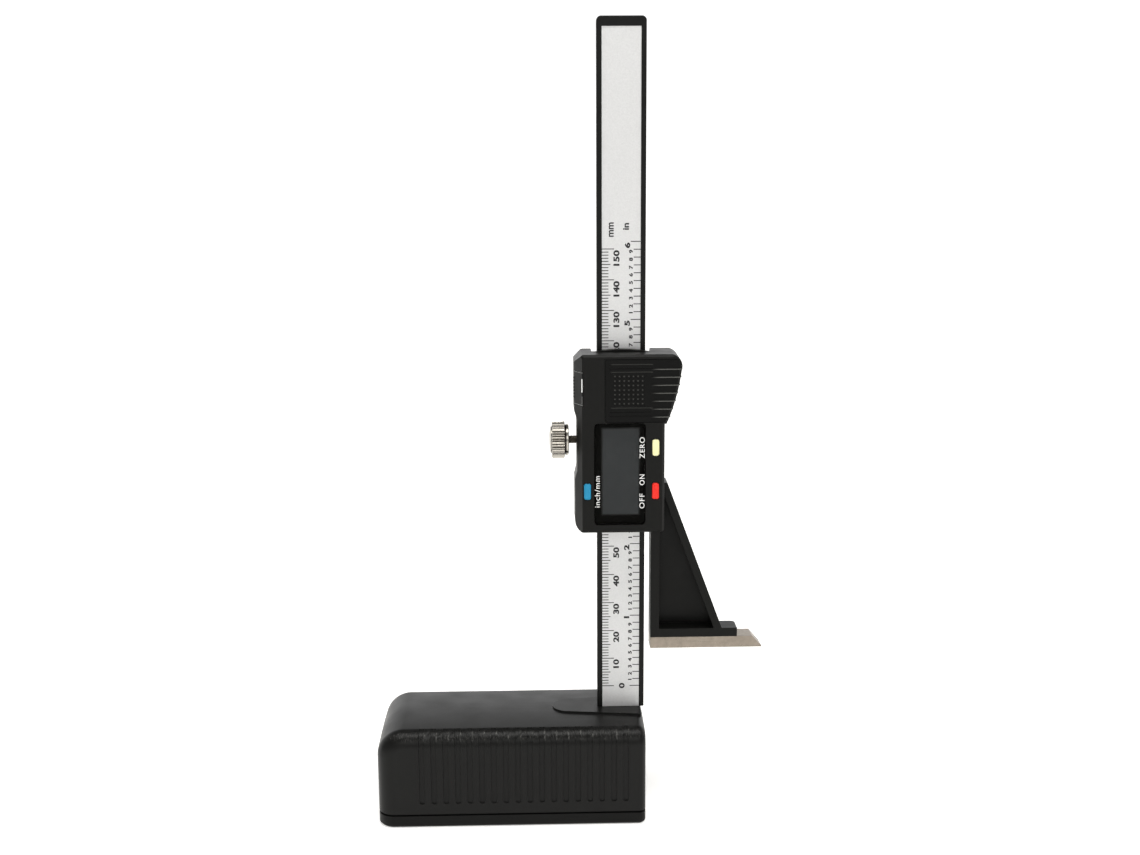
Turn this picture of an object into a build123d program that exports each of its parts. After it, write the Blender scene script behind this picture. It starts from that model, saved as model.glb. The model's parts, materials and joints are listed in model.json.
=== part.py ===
"""Digital height gauge: a weighted moulded base, an upright beam with a printed scale,
and a sliding display unit that carries an arm with a steel measuring blade.

Frame: millimetres, +Z up, +X from the beam towards the blade, -Y towards the display side.
The origin is the centre of the base's underside. The slider stands READING above its zero.
"""
from build123d import *
import math
import os

# ---- Base --------------------------------------------------------------------------------
BASE_LENGTH = 90.2
BASE_DEPTH = 42.0
BASE_HEIGHT = 34.0          # top of the crown
BASE_CROWN = 1.0            # rise of the crowned top from its long edges
BASE_WALL = 2.2
END_ROUND = 9.0             # rounding of the top where it meets the left end
EDGE_ROUND = 5.6            # long top edges and the left upright corners
RIGHT_ROUND = 2.4           # right upright corners and the top edge above them
PLATE_THICK = 4.2
PLATE_EDGE_CUT = 0.8
SHADOW_GAP = 0.6            # height of the groove between plate and housing
SHADOW_DEPTH = 0.8
SPIGOT_HEIGHT = 3.0
SPIGOT_WALL = 1.6
FIT_GAP = 0.15              # gap left all round between parts that drop into each other

GROOVE_PITCH = 4.02
GROOVE_WIDTH = 1.8
GROOVE_DEPTH = 0.5
GROOVE_CORNER = 0.45        # corners of the grooves' flat lower ends
GROOVE_FADE = 0.8           # front grooves end this far before the crown
GROOVE_BACK_FADE = 4.2      # and the back ones lower down
GROOVE_START = 8.5          # height of the grooves' lower ends
GROOVE_LEFT_MARGIN = 15.1
GROOVE_RIGHT_MARGIN = 6.75

PAD_LENGTH = 31.0
PAD_HALF_WIDTH = 8.8        # at the right end
PAD_NOSE = 5.6
PAD_RISE = 0.5              # above the crown

BALLAST_LENGTH = 50.0
BALLAST_GAP = 0.55          # to the plate's spigot
BALLAST_HEIGHT = 21.0
BALLAST_OFFSET = -6.0
BALLAST_CORNER = 2.0
RIB_THICK = 1.8

BASE_SCREW_INSET_X = 8.2
BASE_SCREW_INSET_Y = 8.2
BASE_SCREW_RADIUS = 1.45
BASE_SCREW_HEAD_RADIUS = 2.7
BASE_SCREW_HEAD_THICK = 1.9
BASE_SCREW_LENGTH = 14.0
BOSS_RADIUS = 3.6

# ---- Beam and scale ----------------------------------------------------------------------
BEAM_TOP = 265.0
BEAM_WIDTH = 16.0
BEAM_THICK = 4.0
BEAM_CORNER = 1.5
BEAM_EDGE_CUT = 0.3
BEAM_PROUD = 0.55           # beam's right edge past the base's right end
BEAM_TOP_BORDER = 3.2
TANG_WIDTH = 10.0
TANG_FOOT = 9.0             # height of the tang's lower end above the table
TANG_SCREW_DROP_1 = 7.0     # from the beam's shoulder to the upper clamp screw
TANG_SCREW_DROP_2 = 18.0
LABEL_WIDTH = 12.6
LABEL_THICK = 0.2
STRIP_THICK = 0.8
LABEL_SUNK = 0.2            # label face below the beam's front face

SOCKET_WALL = 5.0
SOCKET_BACK = 9.0
CLAMP_THICK = 2.5
CLAMP_MARGIN = 3.0
CLAMP_SCREW_RADIUS = 1.45
CLAMP_HEAD_RADIUS = 2.6
CLAMP_HEAD_THICK = 1.8
CLAMP_SCREW_REACH = 6.0

# ---- Slider ------------------------------------------------------------------------------
ZERO_HEIGHT = 42.3          # height of the scale's zero line
READING = 56.9              # height that the gauge shows at rest
SLIDER_HEIGHT = 59.5
BODY_LEFT = 14.8            # beam's middle to the left side at the waist
BODY_RIGHT = 13.8
FOOT_STEP = 0.7             # lower left part stands out by this
FOOT_STEP_TOP = 17.3
SHOULDER_STEP = 0.9         # upper left part stands out by this
SHOULDER_DROP = 21.9        # from the slider's top to the shoulder's step
STEP_RUN = 3.0
BULGE = 5.4                 # upper right part stands out by this
BULGE_HEIGHT = 17.6         # from its foot to its crest
BULGE_BOW = 0.65            # how far the bulge's flank bows out of its chord
CORNER_CUT = 2.6            # cut corner, top left
BULGE_CUT = 3.0             # rounded corner, top right
BULGE_DROP = 5.4            # from the slider's top to the bulge's crest
BOTTOM_ROUND = 3.0
BOTTOM_RIGHT_ROUND = 1.2
OUTLINE_ROUND = 1.2
FRONT_FACE = 11.3           # front face in front of the beam's middle plane
SPLIT_FACE = 5.8            # joint between display housing and frame
BACK_FACE = 4.9
EDGE_CHAMFER = 0.8
FACET_WIDTH = 2.5           # bevel down the left side, on the front face's side
FACET_DEPTH = 4.6
HOUSING_WALL = 1.2
FRONT_WALL = 2.0

BEAM_CLEARANCE = 0.12
SENSOR_GAP = 0.3            # circuit board in front of the beam
GIB_THICK = 0.6
GIB_MARGIN = 3.0
COLLAR_HALF = 9.8           # half width of the collar and of the notch behind it
COLLAR_RISE = 0.8
COLLAR_FALL = 0.2           # its ends lie below the slider's top by this
COLLAR_FRONT = 4.6
NOTCH_DEPTH = 1.4

# ---- Display, electronics and buttons ----------------------------------------------------
WINDOW_LEFT = 9.3
WINDOW_RIGHT = 7.5
WINDOW_BOTTOM = 2.8
WINDOW_DROP = 0.4           # window's top below the battery cover
WINDOW_ROUND = 1.3
LENS_THICK = 1.0
LENS_SUNK = 0.2
LENS_LEDGE = 1.2
LCD_THICK = 2.8
ZEBRA_WIDTH = 1.8
BOARD_THICK = 1.0
BOARD_MARGIN = 1.2
CHIP_SIZE = 7.0
CHIP_THICK = 1.0

BUTTON_WIDTH = 2.25
BUTTON_HEIGHT = 5.4
BUTTON_ROUND = 0.75
BUTTON_PROUD = 0.3
BUTTON_FLANGE = 0.5
BUTTON_FLANGE_THICK = 0.7
BUTTON_TRAVEL = 0.4
BUTTON_GAP = 0.1
LEFT_BUTTON_X = -11.55
RIGHT_BUTTON_X = 10.85
LOWER_BUTTON_Z = 14.2
UPPER_BUTTON_DROP = 8.1     # from the window's top to the upper key's middle
DOME_RADIUS = 1.5
DOME_THICK = 0.4

# ---- Battery and its cover ---------------------------------------------------------------
CELL_RADIUS = 5.8
CELL_THICK = 5.4
CELL_X = 1.95
CELL_RISE = 10.6            # cell's middle above the cover's lower edge
CONTACT_THICK = 0.4
COVER_LEFT = 5.7
COVER_DROP = 1.6            # cover's upper edge below the slider's top
COVER_HEIGHT = 20.6
COVER_THICK = 1.4
COVER_END = 14.4            # where the cover's end block starts, from the beam's middle
COVER_ROUND = 1.0           # lower left corner
COVER_GAP = 0.12
TONGUE_LENGTH = 1.5
TONGUE_THICK = 0.7
DOT_COUNT = 7
DOT_PITCH = 1.5
DOT_SIZE = 0.75
DOT_DEPTH = 0.3
LINE_COUNT = 3              # fine lines above the dots, and as many below
LINE_FIRST = 5.9            # from the cell's middle
LINE_PITCH = 1.25
LINE_WIDTH = 0.3
LINE_DEPTH = 0.15
LINE_LEFT = 4.3
RIB_COUNT = 7
RIB_PITCH = 2.62
RIB_FIRST = 1.7             # lowest rib above the cover's lower edge
RIB_SIZE = 0.5
RIB_PROUD = 0.2
RIB_LEFT = 9.2

# ---- Data port ---------------------------------------------------------------------------
PORT_DROP = 5.7             # port cover's upper edge below the slider's top
PORT_HEIGHT = 10.9
PORT_INNER = 13.0
PORT_PLUG_LENGTH = 1.6
PORT_PLUG_MARGIN = 2.6
PORT_PLUG_FRONT = 9.0
PORT_PLUG_BACK = 7.0
PORT_WALL = 1.4
PORT_TEETH = 7
PORT_TOOTH_PITCH = 1.05
PORT_TOOTH_SIZE = 0.5
PORT_CONTACTS = 4

# ---- Lock screw --------------------------------------------------------------------------
LOCK_Z = 29.5
LOCK_BORE_RADIUS = 1.42
LOCK_SHAFT_RADIUS = 1.35
LOCK_PAD_LENGTH = 1.2
LOCK_GAP = 0.05
KNOB_RADIUS = 6.2
KNOB_LENGTH = 5.6
KNOB_DOME = 1.0
KNOB_TEETH = 32
KNOB_TOOTH_DEPTH = 0.35
COLLET_RADIUS = 4.8
COLLET_LENGTH = 0.9
KNOB_STANDOFF = 2.6

# ---- Screws that close the slider --------------------------------------------------------
CASE_SCREW_INSET = 2.9
CASE_SCREW_LOW = 4.6
CASE_SCREW_DROP = 4.3
CASE_SCREW_RADIUS = 1.0
CASE_HEAD_RADIUS = 1.8
CASE_HEAD_THICK = 1.2
CASE_BOSS_RADIUS = 1.9
CASE_SCREW_END = 8.3        # tip of the screw in front of the beam's middle plane

# ---- Arm and blade -----------------------------------------------------------------------
ARM_LEFT = 9.8
ARM_DEPTH = 7.5
ARM_FOOT_THICK = 3.0
ARM_FOOT_RIGHT = 39.4
ARM_TIP_X = 15.3
ARM_TIP_Z = 15.6
ARM_HEEL_X = 34.2
ARM_UPRIGHT = 3.0           # width of the rib beside the beam
ARM_SLANT = 2.6             # width of the slanting rib
ARM_WEB = 1.2
ARM_CORNER = 0.8
BLADE_THICK = 3.9
BLADE_RIGHT = 48.0
BLADE_BEVEL = 3.4
BLADE_SKEW = 0.3
BLADE_SCREW_1 = 17.0
BLADE_SCREW_2 = 31.0
BLADE_SCREW_RADIUS = 1.45
BLADE_HEAD_RADIUS = 2.7
BLADE_HEAD_SUNK = 0.3

# ---- Places worked out from the sizes above ----------------------------------------------
BEAM_X = BASE_LENGTH / 2 - BEAM_WIDTH / 2 + BEAM_PROUD
PAD_TOP = BASE_HEIGHT + PAD_RISE
HOUSING_FLOOR = PLATE_THICK + SHADOW_GAP
BEAM_FRONT = -BEAM_THICK / 2
BEAM_BACK = BEAM_THICK / 2
LABEL_TOP = BEAM_TOP - BEAM_TOP_BORDER
BALLAST_DEPTH = BASE_DEPTH - 2 * (BASE_WALL + FIT_GAP + SPIGOT_WALL + BALLAST_GAP)
SLIDER_BOTTOM = ZERO_HEIGHT + READING
BLADE_BOTTOM = READING
BLADE_TOP = BLADE_BOTTOM + BLADE_THICK
FOOT_TOP = BLADE_TOP + ARM_FOOT_THICK
FRAME_BACK = BEAM_BACK + BEAM_CLEARANCE
BOARD_BACK = BEAM_FRONT - SENSOR_GAP
BOARD_FRONT = BOARD_BACK - BOARD_THICK
INNER_FRONT = -FRONT_FACE + FRONT_WALL
LENS_FRONT = -FRONT_FACE + LENS_SUNK
LENS_BACK = LENS_FRONT + LENS_THICK
LCD_BACK = LENS_BACK + LCD_THICK
COVER_BACK = -FRONT_FACE + COVER_THICK
GIB_INNER = -(BEAM_WIDTH / 2 + BEAM_CLEARANCE)
GIB_OUTER = GIB_INNER - GIB_THICK
LOCK_TIP = GIB_OUTER - LOCK_GAP - LOCK_PAD_LENGTH - LOCK_GAP
SHOULDER_START = SLIDER_HEIGHT - SHOULDER_DROP
BULGE_CREST = SLIDER_HEIGHT - BULGE_DROP
BULGE_FOOT = BULGE_CREST - BULGE_HEIGHT
COVER_TOP = SLIDER_HEIGHT - COVER_DROP
COVER_BOTTOM = COVER_TOP - COVER_HEIGHT
CELL_Z = COVER_BOTTOM + CELL_RISE
WINDOW_TOP = COVER_BOTTOM - WINDOW_DROP
PORT_TOP = SLIDER_HEIGHT - PORT_DROP
PORT_BOTTOM = PORT_TOP - PORT_HEIGHT
CASE_SCREWS = [(u, w) for w in (CASE_SCREW_LOW, SLIDER_HEIGHT - CASE_SCREW_DROP)
               for u in (CASE_SCREW_INSET - BODY_LEFT, BODY_RIGHT - CASE_SCREW_INSET)]
BUTTONS = {"button_unit": (LEFT_BUTTON_X, LOWER_BUTTON_Z),
           "button_zero": (RIGHT_BUTTON_X, WINDOW_TOP - UPPER_BUTTON_DROP),
           "button_power": (RIGHT_BUTTON_X, LOWER_BUTTON_Z)}
MARGIN = 5.0                # how far a cutting solid runs past what it cuts


# ---- Helpers -----------------------------------------------------------------------------
def block(x0, x1, y0, y1, z0, z1):
    """Rectangular solid between two corners."""
    return Pos((x0 + x1) / 2, (y0 + y1) / 2, (z0 + z1) / 2) * Box(x1 - x0, y1 - y0, z1 - z0)


def rod_x(y, z, radius, x0, x1):
    """Round bar along X."""
    return Pos((x0 + x1) / 2, y, z) * Rot(0, 90, 0) * Cylinder(radius, x1 - x0)


def rod_y(x, z, radius, y0, y1):
    """Round bar along Y."""
    return Pos(x, (y0 + y1) / 2, z) * Rot(90, 0, 0) * Cylinder(radius, y1 - y0)


def rod_z(x, y, radius, z0, z1):
    """Round bar along Z."""
    return Pos(x, y, (z0 + z1) / 2) * Cylinder(radius, z1 - z0)


def prism_y(outline, y0, y1):
    """Solid of an outline drawn in X and Z, from y0 to y1."""
    return extrude(Plane.XZ.offset(-y1) * outline, amount=y1 - y0)


def slider_block(u0, u1, y0, y1, w0, w1):
    """Block given from the beam's middle and from the slider's lower face."""
    return block(BEAM_X + u0, BEAM_X + u1, y0, y1, SLIDER_BOTTOM + w0, SLIDER_BOTTOM + w1)


def slider_rod(u, w, radius, y0, y1):
    """Round bar along Y, placed as slider_block is."""
    return rod_y(BEAM_X + u, SLIDER_BOTTOM + w, radius, y0, y1)


def rounded_rectangle(u, w, width, height, radius):
    """Rounded outline centred on a point of the slider's front."""
    return Pos(BEAM_X + u, SLIDER_BOTTOM + w) * RectangleRounded(width, height, radius)


# ---- Base --------------------------------------------------------------------------------
def base_form(inset, floor):
    """The base's crowned block, drawn in by inset on every side but its floor, and its soft edges."""
    half_x = BASE_LENGTH / 2 - inset
    half_y = BASE_DEPTH / 2 - inset
    top = BASE_HEIGHT - inset
    shoulder = top - BASE_CROWN
    section = Polyline((half_y, shoulder), (half_y, floor), (-half_y, floor), (-half_y, shoulder))
    section += ThreePointArc((-half_y, shoulder), (0, top), (half_y, shoulder))
    return extrude(Plane.YZ.offset(-half_x) * make_face(section), amount=2 * half_x)


def end_edge(form):
    """Top edge of the left end."""
    return form.edges().filter_by(Axis.X, reverse=True).group_by(Axis.X)[0].sort_by(Axis.Z)[-1]


def long_edges(form):
    """Long top edges and the left end's upright edges."""
    half_x = form.bounding_box().max.X
    half_y = form.bounding_box().max.Y
    floor = form.bounding_box().min.Z
    return form.edges().filter_by(
        lambda e: abs(e.center().Y) > half_y - 0.01
        and e.center().Z > floor + 0.01
        and e.center().X < half_x - 0.01
    )


def base_skin(floor):
    """Outer form of the housing: every edge rounded."""
    form = base_form(0, floor)
    form = fillet(end_edge(form), END_ROUND)
    return fillet(long_edges(form), EDGE_ROUND)


def base_hollow(floor):
    """Inner form of the housing: its edges are cut at 45 degrees, to keep the wall even."""
    form = base_form(BASE_WALL, floor)
    cut = 2 - math.sqrt(2)
    form = chamfer(end_edge(form), (END_ROUND - BASE_WALL) * cut)
    return chamfer(long_edges(form), (EDGE_ROUND - BASE_WALL) * cut)


def base_plan(inset):
    """Outline of the base seen from above, drawn in by inset."""
    face = Rectangle(BASE_LENGTH - 2 * inset, BASE_DEPTH - 2 * inset)
    left = face.vertices().filter_by(lambda v: v.X < 0)
    face = fillet(left, EDGE_ROUND - inset)
    right = face.vertices().filter_by(lambda v: v.X > BASE_LENGTH / 2 - inset - 0.01)
    return fillet(right, max(RIGHT_ROUND - inset, 0.4))


def base_screw_places():
    """The four corners where the plate is screwed to the housing."""
    reach_x = BASE_LENGTH / 2 - BASE_SCREW_INSET_X
    reach_y = BASE_DEPTH / 2 - BASE_SCREW_INSET_Y
    return [(sx * reach_x, sy * reach_y) for sx in (-1, 1) for sy in (-1, 1)]


def grip_grooves():
    """Upright finger grooves in both long sides, with square lower ends. They run on to the shoulders."""
    span = BASE_LENGTH - GROOVE_LEFT_MARGIN - GROOVE_RIGHT_MARGIN
    count = round(span / GROOVE_PITCH) + 1
    first = -BASE_LENGTH / 2 + GROOVE_LEFT_MARGIN
    length = BASE_HEIGHT + MARGIN - GROOVE_START
    grooves = Sketch()
    for index in range(count):
        x = first + index * span / (count - 1)
        z = GROOVE_START + length / 2
        groove = Pos(x, z) * Rectangle(GROOVE_WIDTH, length)
        grooves += chamfer(groove.vertices(), GROOVE_CORNER)
    face = BASE_DEPTH / 2
    crown = face - EDGE_ROUND
    floor = base_skin(GROOVE_START - MARGIN)
    front = prism_y(grooves, -face - MARGIN, -crown - GROOVE_FADE) - Pos(0, GROOVE_DEPTH, 0) * floor
    back = prism_y(grooves, crown + GROOVE_BACK_FADE, face + MARGIN) - Pos(0, -GROOVE_DEPTH, 0) * floor
    return front + back


def foot_pad():
    """Flat raised tongue on which the beam stands: round nose, flared towards the right end."""
    end = BASE_LENGTH / 2
    nose_x = end - PAD_LENGTH + PAD_NOSE
    turn = math.atan2(PAD_HALF_WIDTH, end - nose_x)
    turn += math.acos(PAD_NOSE / math.hypot(PAD_HALF_WIDTH, end - nose_x))
    x = nose_x + PAD_NOSE * math.cos(turn)
    y = PAD_NOSE * math.sin(turn)
    outline = Polyline((x, y), (end, PAD_HALF_WIDTH), (end, -PAD_HALF_WIDTH), (x, -y))
    outline += ThreePointArc((x, -y), (nose_x - PAD_NOSE, 0), (x, y))
    column = extrude(Plane.XY.offset(BASE_HEIGHT - BASE_WALL) * make_face(outline), amount=BASE_WALL + PAD_RISE)
    inside = extrude(base_plan(RIGHT_ROUND / 3), amount=BASE_HEIGHT + MARGIN)
    return column & inside


def socket_block():
    """Thick wall inside the housing, behind the beam's tang."""
    left = BEAM_X - TANG_WIDTH / 2 - SOCKET_WALL
    right = BASE_LENGTH / 2 - BASE_WALL / 2
    return block(left, right, BEAM_BACK + FIT_GAP, BEAM_BACK + SOCKET_BACK, TANG_FOOT, PAD_TOP - BASE_WALL)


def clamp_screw_heights():
    """Heights of the two screws through clamp, tang and socket."""
    return [PAD_TOP - TANG_SCREW_DROP_1, PAD_TOP - TANG_SCREW_DROP_2]


def base_housing():
    """Moulded shell of the base, with bosses, ribs over the ballast and the beam's socket."""
    skin = base_skin(HOUSING_FLOOR)
    right_edges = skin.edges().filter_by(
        lambda e: e.center().X > BASE_LENGTH / 2 - 0.01 and e.center().Z > HOUSING_FLOOR + 0.01
    )
    shell = fillet(right_edges, RIGHT_ROUND) - base_hollow(HOUSING_FLOOR - MARGIN)
    shell = shell + foot_pad() - grip_grooves()
    roof = BASE_HEIGHT - BASE_CROWN - BASE_WALL / 2
    for x, y in base_screw_places():
        shell += rod_z(x, y, BOSS_RADIUS, HOUSING_FLOOR, roof)
    rib_foot = HOUSING_FLOOR + BALLAST_HEIGHT + FIT_GAP
    half_y = BASE_DEPTH / 2 - BASE_WALL
    for side in (-1, 1):
        x = BALLAST_OFFSET + side * BALLAST_LENGTH / 4
        shell += block(x - RIB_THICK / 2, x + RIB_THICK / 2, -half_y + EDGE_ROUND, half_y - EDGE_ROUND,
                       rib_foot, roof)
    shell += socket_block()
    for x, y in base_screw_places():
        shell -= rod_z(x, y, BASE_SCREW_RADIUS + FIT_GAP / 2, HOUSING_FLOOR - 1, HOUSING_FLOOR + BASE_SCREW_LENGTH)
    for z in clamp_screw_heights():
        shell -= rod_y(BEAM_X, z, CLAMP_SCREW_RADIUS + FIT_GAP / 2, 0, BEAM_BACK + CLAMP_SCREW_REACH + 1)
    tang = TANG_WIDTH / 2 + FIT_GAP
    slot_y = BEAM_THICK / 2 + FIT_GAP
    return shell - block(BEAM_X - tang, BEAM_X + tang, -slot_y, slot_y, TANG_FOOT, PAD_TOP + MARGIN)


def base_plate():
    """Bottom plate with a land that leaves the shadow groove and a spigot inside the shell."""
    plate = extrude(base_plan(0), amount=PLATE_THICK)
    bottom = plate.edges().filter_by(lambda e: e.center().Z < 0.01)
    plate = chamfer(bottom, PLATE_EDGE_CUT)
    plate += extrude(Plane.XY.offset(PLATE_THICK) * base_plan(SHADOW_DEPTH), amount=SHADOW_GAP)
    outer = BASE_WALL + FIT_GAP
    rim = base_plan(outer) - base_plan(outer + SPIGOT_WALL)
    plate += extrude(Plane.XY.offset(HOUSING_FLOOR) * rim, amount=SPIGOT_HEIGHT)
    for x, y in base_screw_places():
        plate -= rod_z(x, y, BOSS_RADIUS + FIT_GAP, HOUSING_FLOOR, HOUSING_FLOOR + SPIGOT_HEIGHT + 1)
        plate -= rod_z(x, y, BASE_SCREW_RADIUS + FIT_GAP, -1, HOUSING_FLOOR + 1)
        plate -= rod_z(x, y, BASE_SCREW_HEAD_RADIUS + FIT_GAP, -1, BASE_SCREW_HEAD_THICK + 0.3)
    return plate


def base_screws():
    """Four pan-head screws driven up through the plate."""
    screws = Part()
    seat = BASE_SCREW_HEAD_THICK + 0.3
    for x, y in base_screw_places():
        head = rod_z(x, y, BASE_SCREW_HEAD_RADIUS, seat - BASE_SCREW_HEAD_THICK, seat)
        head -= block(x - 2, x + 2, y - 0.3, y + 0.3, 0, seat - 1.2)
        screws += head + rod_z(x, y, BASE_SCREW_RADIUS, seat, seat + BASE_SCREW_LENGTH)
    return screws


def ballast():
    """Cast block that rests on the plate and keeps the gauge from tipping."""
    face = RectangleRounded(BALLAST_LENGTH, BALLAST_DEPTH, BALLAST_CORNER)
    place = Plane.XY.offset(HOUSING_FLOOR) * Pos(BALLAST_OFFSET, 0)
    return extrude(place * face, amount=BALLAST_HEIGHT)


# ---- Beam --------------------------------------------------------------------------------
def beam():
    """Moulded beam with a recess for the scale and a narrow tang that enters the base."""
    half = BEAM_WIDTH / 2
    bar = block(BEAM_X - half, BEAM_X + half, BEAM_FRONT, BEAM_BACK, PAD_TOP, BEAM_TOP)
    bar = fillet(bar.edges().filter_by(Axis.Y).group_by(Axis.Z)[-1], BEAM_CORNER)
    bar = chamfer(bar.edges().filter_by(Axis.Z), BEAM_EDGE_CUT)
    depth = LABEL_SUNK + LABEL_THICK + STRIP_THICK
    slot = LABEL_WIDTH / 2
    bar -= block(BEAM_X - slot, BEAM_X + slot, BEAM_FRONT - 1, BEAM_FRONT + depth, PAD_TOP - 1, LABEL_TOP)
    tang = TANG_WIDTH / 2
    bar += block(BEAM_X - tang, BEAM_X + tang, BEAM_FRONT, BEAM_BACK, TANG_FOOT, PAD_TOP)
    for z in clamp_screw_heights():
        bar -= rod_y(BEAM_X, z, CLAMP_SCREW_RADIUS + FIT_GAP, -MARGIN, MARGIN)
    return bar


def scale_layer(front, back):
    """Strip that fills the beam's recess between two depths."""
    half = LABEL_WIDTH / 2
    return block(BEAM_X - half, BEAM_X + half, front, back, PAD_TOP, LABEL_TOP)


def beam_clamp():
    """Steel plate that presses the tang against the socket."""
    half = TANG_WIDTH / 2
    heights = clamp_screw_heights()
    front = BEAM_FRONT - CLAMP_THICK
    plate = block(BEAM_X - half, BEAM_X + half, front, BEAM_FRONT,
                  min(heights) - CLAMP_MARGIN - 1, max(heights) + CLAMP_MARGIN + 1)
    for z in heights:
        plate -= rod_y(BEAM_X, z, CLAMP_SCREW_RADIUS + FIT_GAP, front - 1, BEAM_FRONT + 1)
    return plate


def clamp_screws():
    """Two screws through the clamp and the tang."""
    seat = BEAM_FRONT - CLAMP_THICK
    screws = Part()
    for z in clamp_screw_heights():
        screws += rod_y(BEAM_X, z, CLAMP_HEAD_RADIUS, seat - CLAMP_HEAD_THICK, seat)
        screws += rod_y(BEAM_X, z, CLAMP_SCREW_RADIUS, seat, BEAM_BACK + CLAMP_SCREW_REACH)
    return screws


# ---- Slider case -------------------------------------------------------------------------
def bulge_edge(w):
    """Distance of the bulge's flank from the beam's middle at height w."""
    t = (w - BULGE_FOOT) / (BULGE_CREST - BULGE_FOOT)
    t = min(max(t, 0), 1)
    return BODY_RIGHT + STEP_RUN / 5 + (BULGE - STEP_RUN / 5) * t + 4 * BULGE_BOW * t * (1 - t)


def slider_outline():
    """Outline of the slider's case seen from the front."""
    low_left = -(BODY_LEFT + FOOT_STEP)
    high_left = -(BODY_LEFT + SHOULDER_STEP)
    high_right = BODY_RIGHT + BULGE
    middle = (BULGE_FOOT + BULGE_CREST) / 2
    left = [(low_left, FOOT_STEP_TOP), (-BODY_LEFT, FOOT_STEP_TOP + STEP_RUN),
            (-BODY_LEFT, SHOULDER_START), (high_left, SHOULDER_START + STEP_RUN),
            (high_left, SLIDER_HEIGHT - CORNER_CUT), (high_left + CORNER_CUT, SLIDER_HEIGHT)]
    crest = (high_right, BULGE_CREST)
    corner = (high_right - 0.3 * BULGE_CUT, SLIDER_HEIGHT - 0.22 * BULGE_DROP)
    peak = (high_right - BULGE_CUT, SLIDER_HEIGHT)
    foot = (bulge_edge(BULGE_FOOT), BULGE_FOOT)
    path = Polyline((low_left, 0), *left, peak)
    path += ThreePointArc(peak, corner, crest)
    path += ThreePointArc(crest, (bulge_edge(middle), middle), foot)
    path += Polyline(foot, (BODY_RIGHT, BULGE_FOOT), (BODY_RIGHT, 0), (low_left, 0))
    face = make_face(path)
    soft = face.vertices().filter_by(lambda v: min(math.dist((v.X, v.Y), b) for b in left) < 0.01)
    face = fillet(soft, OUTLINE_ROUND)
    low = face.vertices().filter_by(lambda v: v.Y < 0.01)
    face = fillet(low.filter_by(lambda v: v.X < 0), BOTTOM_ROUND)
    right_low = face.vertices().filter_by(lambda v: v.Y < 0.01 and v.X > BODY_RIGHT - 0.01)
    face = fillet(right_low, BOTTOM_RIGHT_ROUND)
    return Pos(BEAM_X, SLIDER_BOTTOM) * face


def front_form():
    """Outer form of the case in front of the split, with its edge chamfer and left bevel."""
    form = prism_y(slider_outline(), -FRONT_FACE, -SPLIT_FACE)
    front_edges = form.faces().sort_by(Axis.Y)[0].edges()
    form = chamfer(front_edges, EDGE_CHAMFER)
    corner = -(BODY_LEFT + SHOULDER_STEP)
    x = BEAM_X + corner
    bevel = Polyline((x - MARGIN, -FRONT_FACE - MARGIN), (x + FACET_WIDTH, -FRONT_FACE - MARGIN),
                     (x + FACET_WIDTH, -FRONT_FACE), (x, -FRONT_FACE + FACET_DEPTH),
                     (x - MARGIN, -FRONT_FACE + FACET_DEPTH), close=True)
    wedge = extrude(Plane.XY.offset(SLIDER_BOTTOM - MARGIN) * make_face(bevel),
                    amount=SLIDER_HEIGHT + 2 * MARGIN)
    return form - wedge


def cover_zone(gap):
    """Space that the battery cover fills, grown by gap towards the housing."""
    plate = slider_block(-COVER_LEFT - gap, BODY_RIGHT + BULGE + MARGIN, -FRONT_FACE - MARGIN,
                         COVER_BACK + gap, COVER_BOTTOM - gap, COVER_TOP + gap)
    corner = plate.edges().filter_by(Axis.Y).group_by(Axis.X)[0].sort_by(Axis.Z)[0]
    plate = fillet(corner, COVER_ROUND + gap)
    end = slider_block(COVER_END - gap, BODY_RIGHT + BULGE + MARGIN, -FRONT_FACE - MARGIN,
                       -SPLIT_FACE + MARGIN, COVER_BOTTOM - gap, COVER_TOP + gap)
    return plate + end


def cover_tongue(gap):
    """Tongue at the cover's left edge that hooks behind the housing's face."""
    middle = (COVER_BOTTOM + COVER_TOP) / 2
    reach = (COVER_TOP - COVER_BOTTOM) / 4
    return slider_block(-COVER_LEFT - TONGUE_LENGTH - gap, -COVER_LEFT + 1, COVER_BACK - TONGUE_THICK - gap,
                        COVER_BACK + gap, middle - reach - gap, middle + reach + gap)


def port_zone(gap):
    """Space that the data port's cover fills."""
    return slider_block(-BODY_LEFT - SHOULDER_STEP - MARGIN, -PORT_INNER + gap, -FRONT_FACE - MARGIN,
                        -SPLIT_FACE + MARGIN, PORT_BOTTOM - gap, PORT_TOP + gap)


def port_plug(gap):
    """Part of the port's cover that enters the window in the housing."""
    return slider_block(-PORT_INNER - 0.5, -PORT_INNER + PORT_PLUG_LENGTH, -PORT_PLUG_FRONT - gap,
                        -PORT_PLUG_BACK + gap, PORT_BOTTOM + PORT_PLUG_MARGIN - gap,
                        PORT_TOP - PORT_PLUG_MARGIN + gap)


def window_outline(inset):
    """Outline of the display window, drawn in by inset."""
    width = WINDOW_LEFT + WINDOW_RIGHT - 2 * inset
    height = WINDOW_TOP - WINDOW_BOTTOM - 2 * inset
    middle_x = (WINDOW_RIGHT - WINDOW_LEFT) / 2
    middle_z = (WINDOW_TOP + WINDOW_BOTTOM) / 2
    return rounded_rectangle(middle_x, middle_z, width, height, max(WINDOW_ROUND - inset, 0.3))


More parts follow.
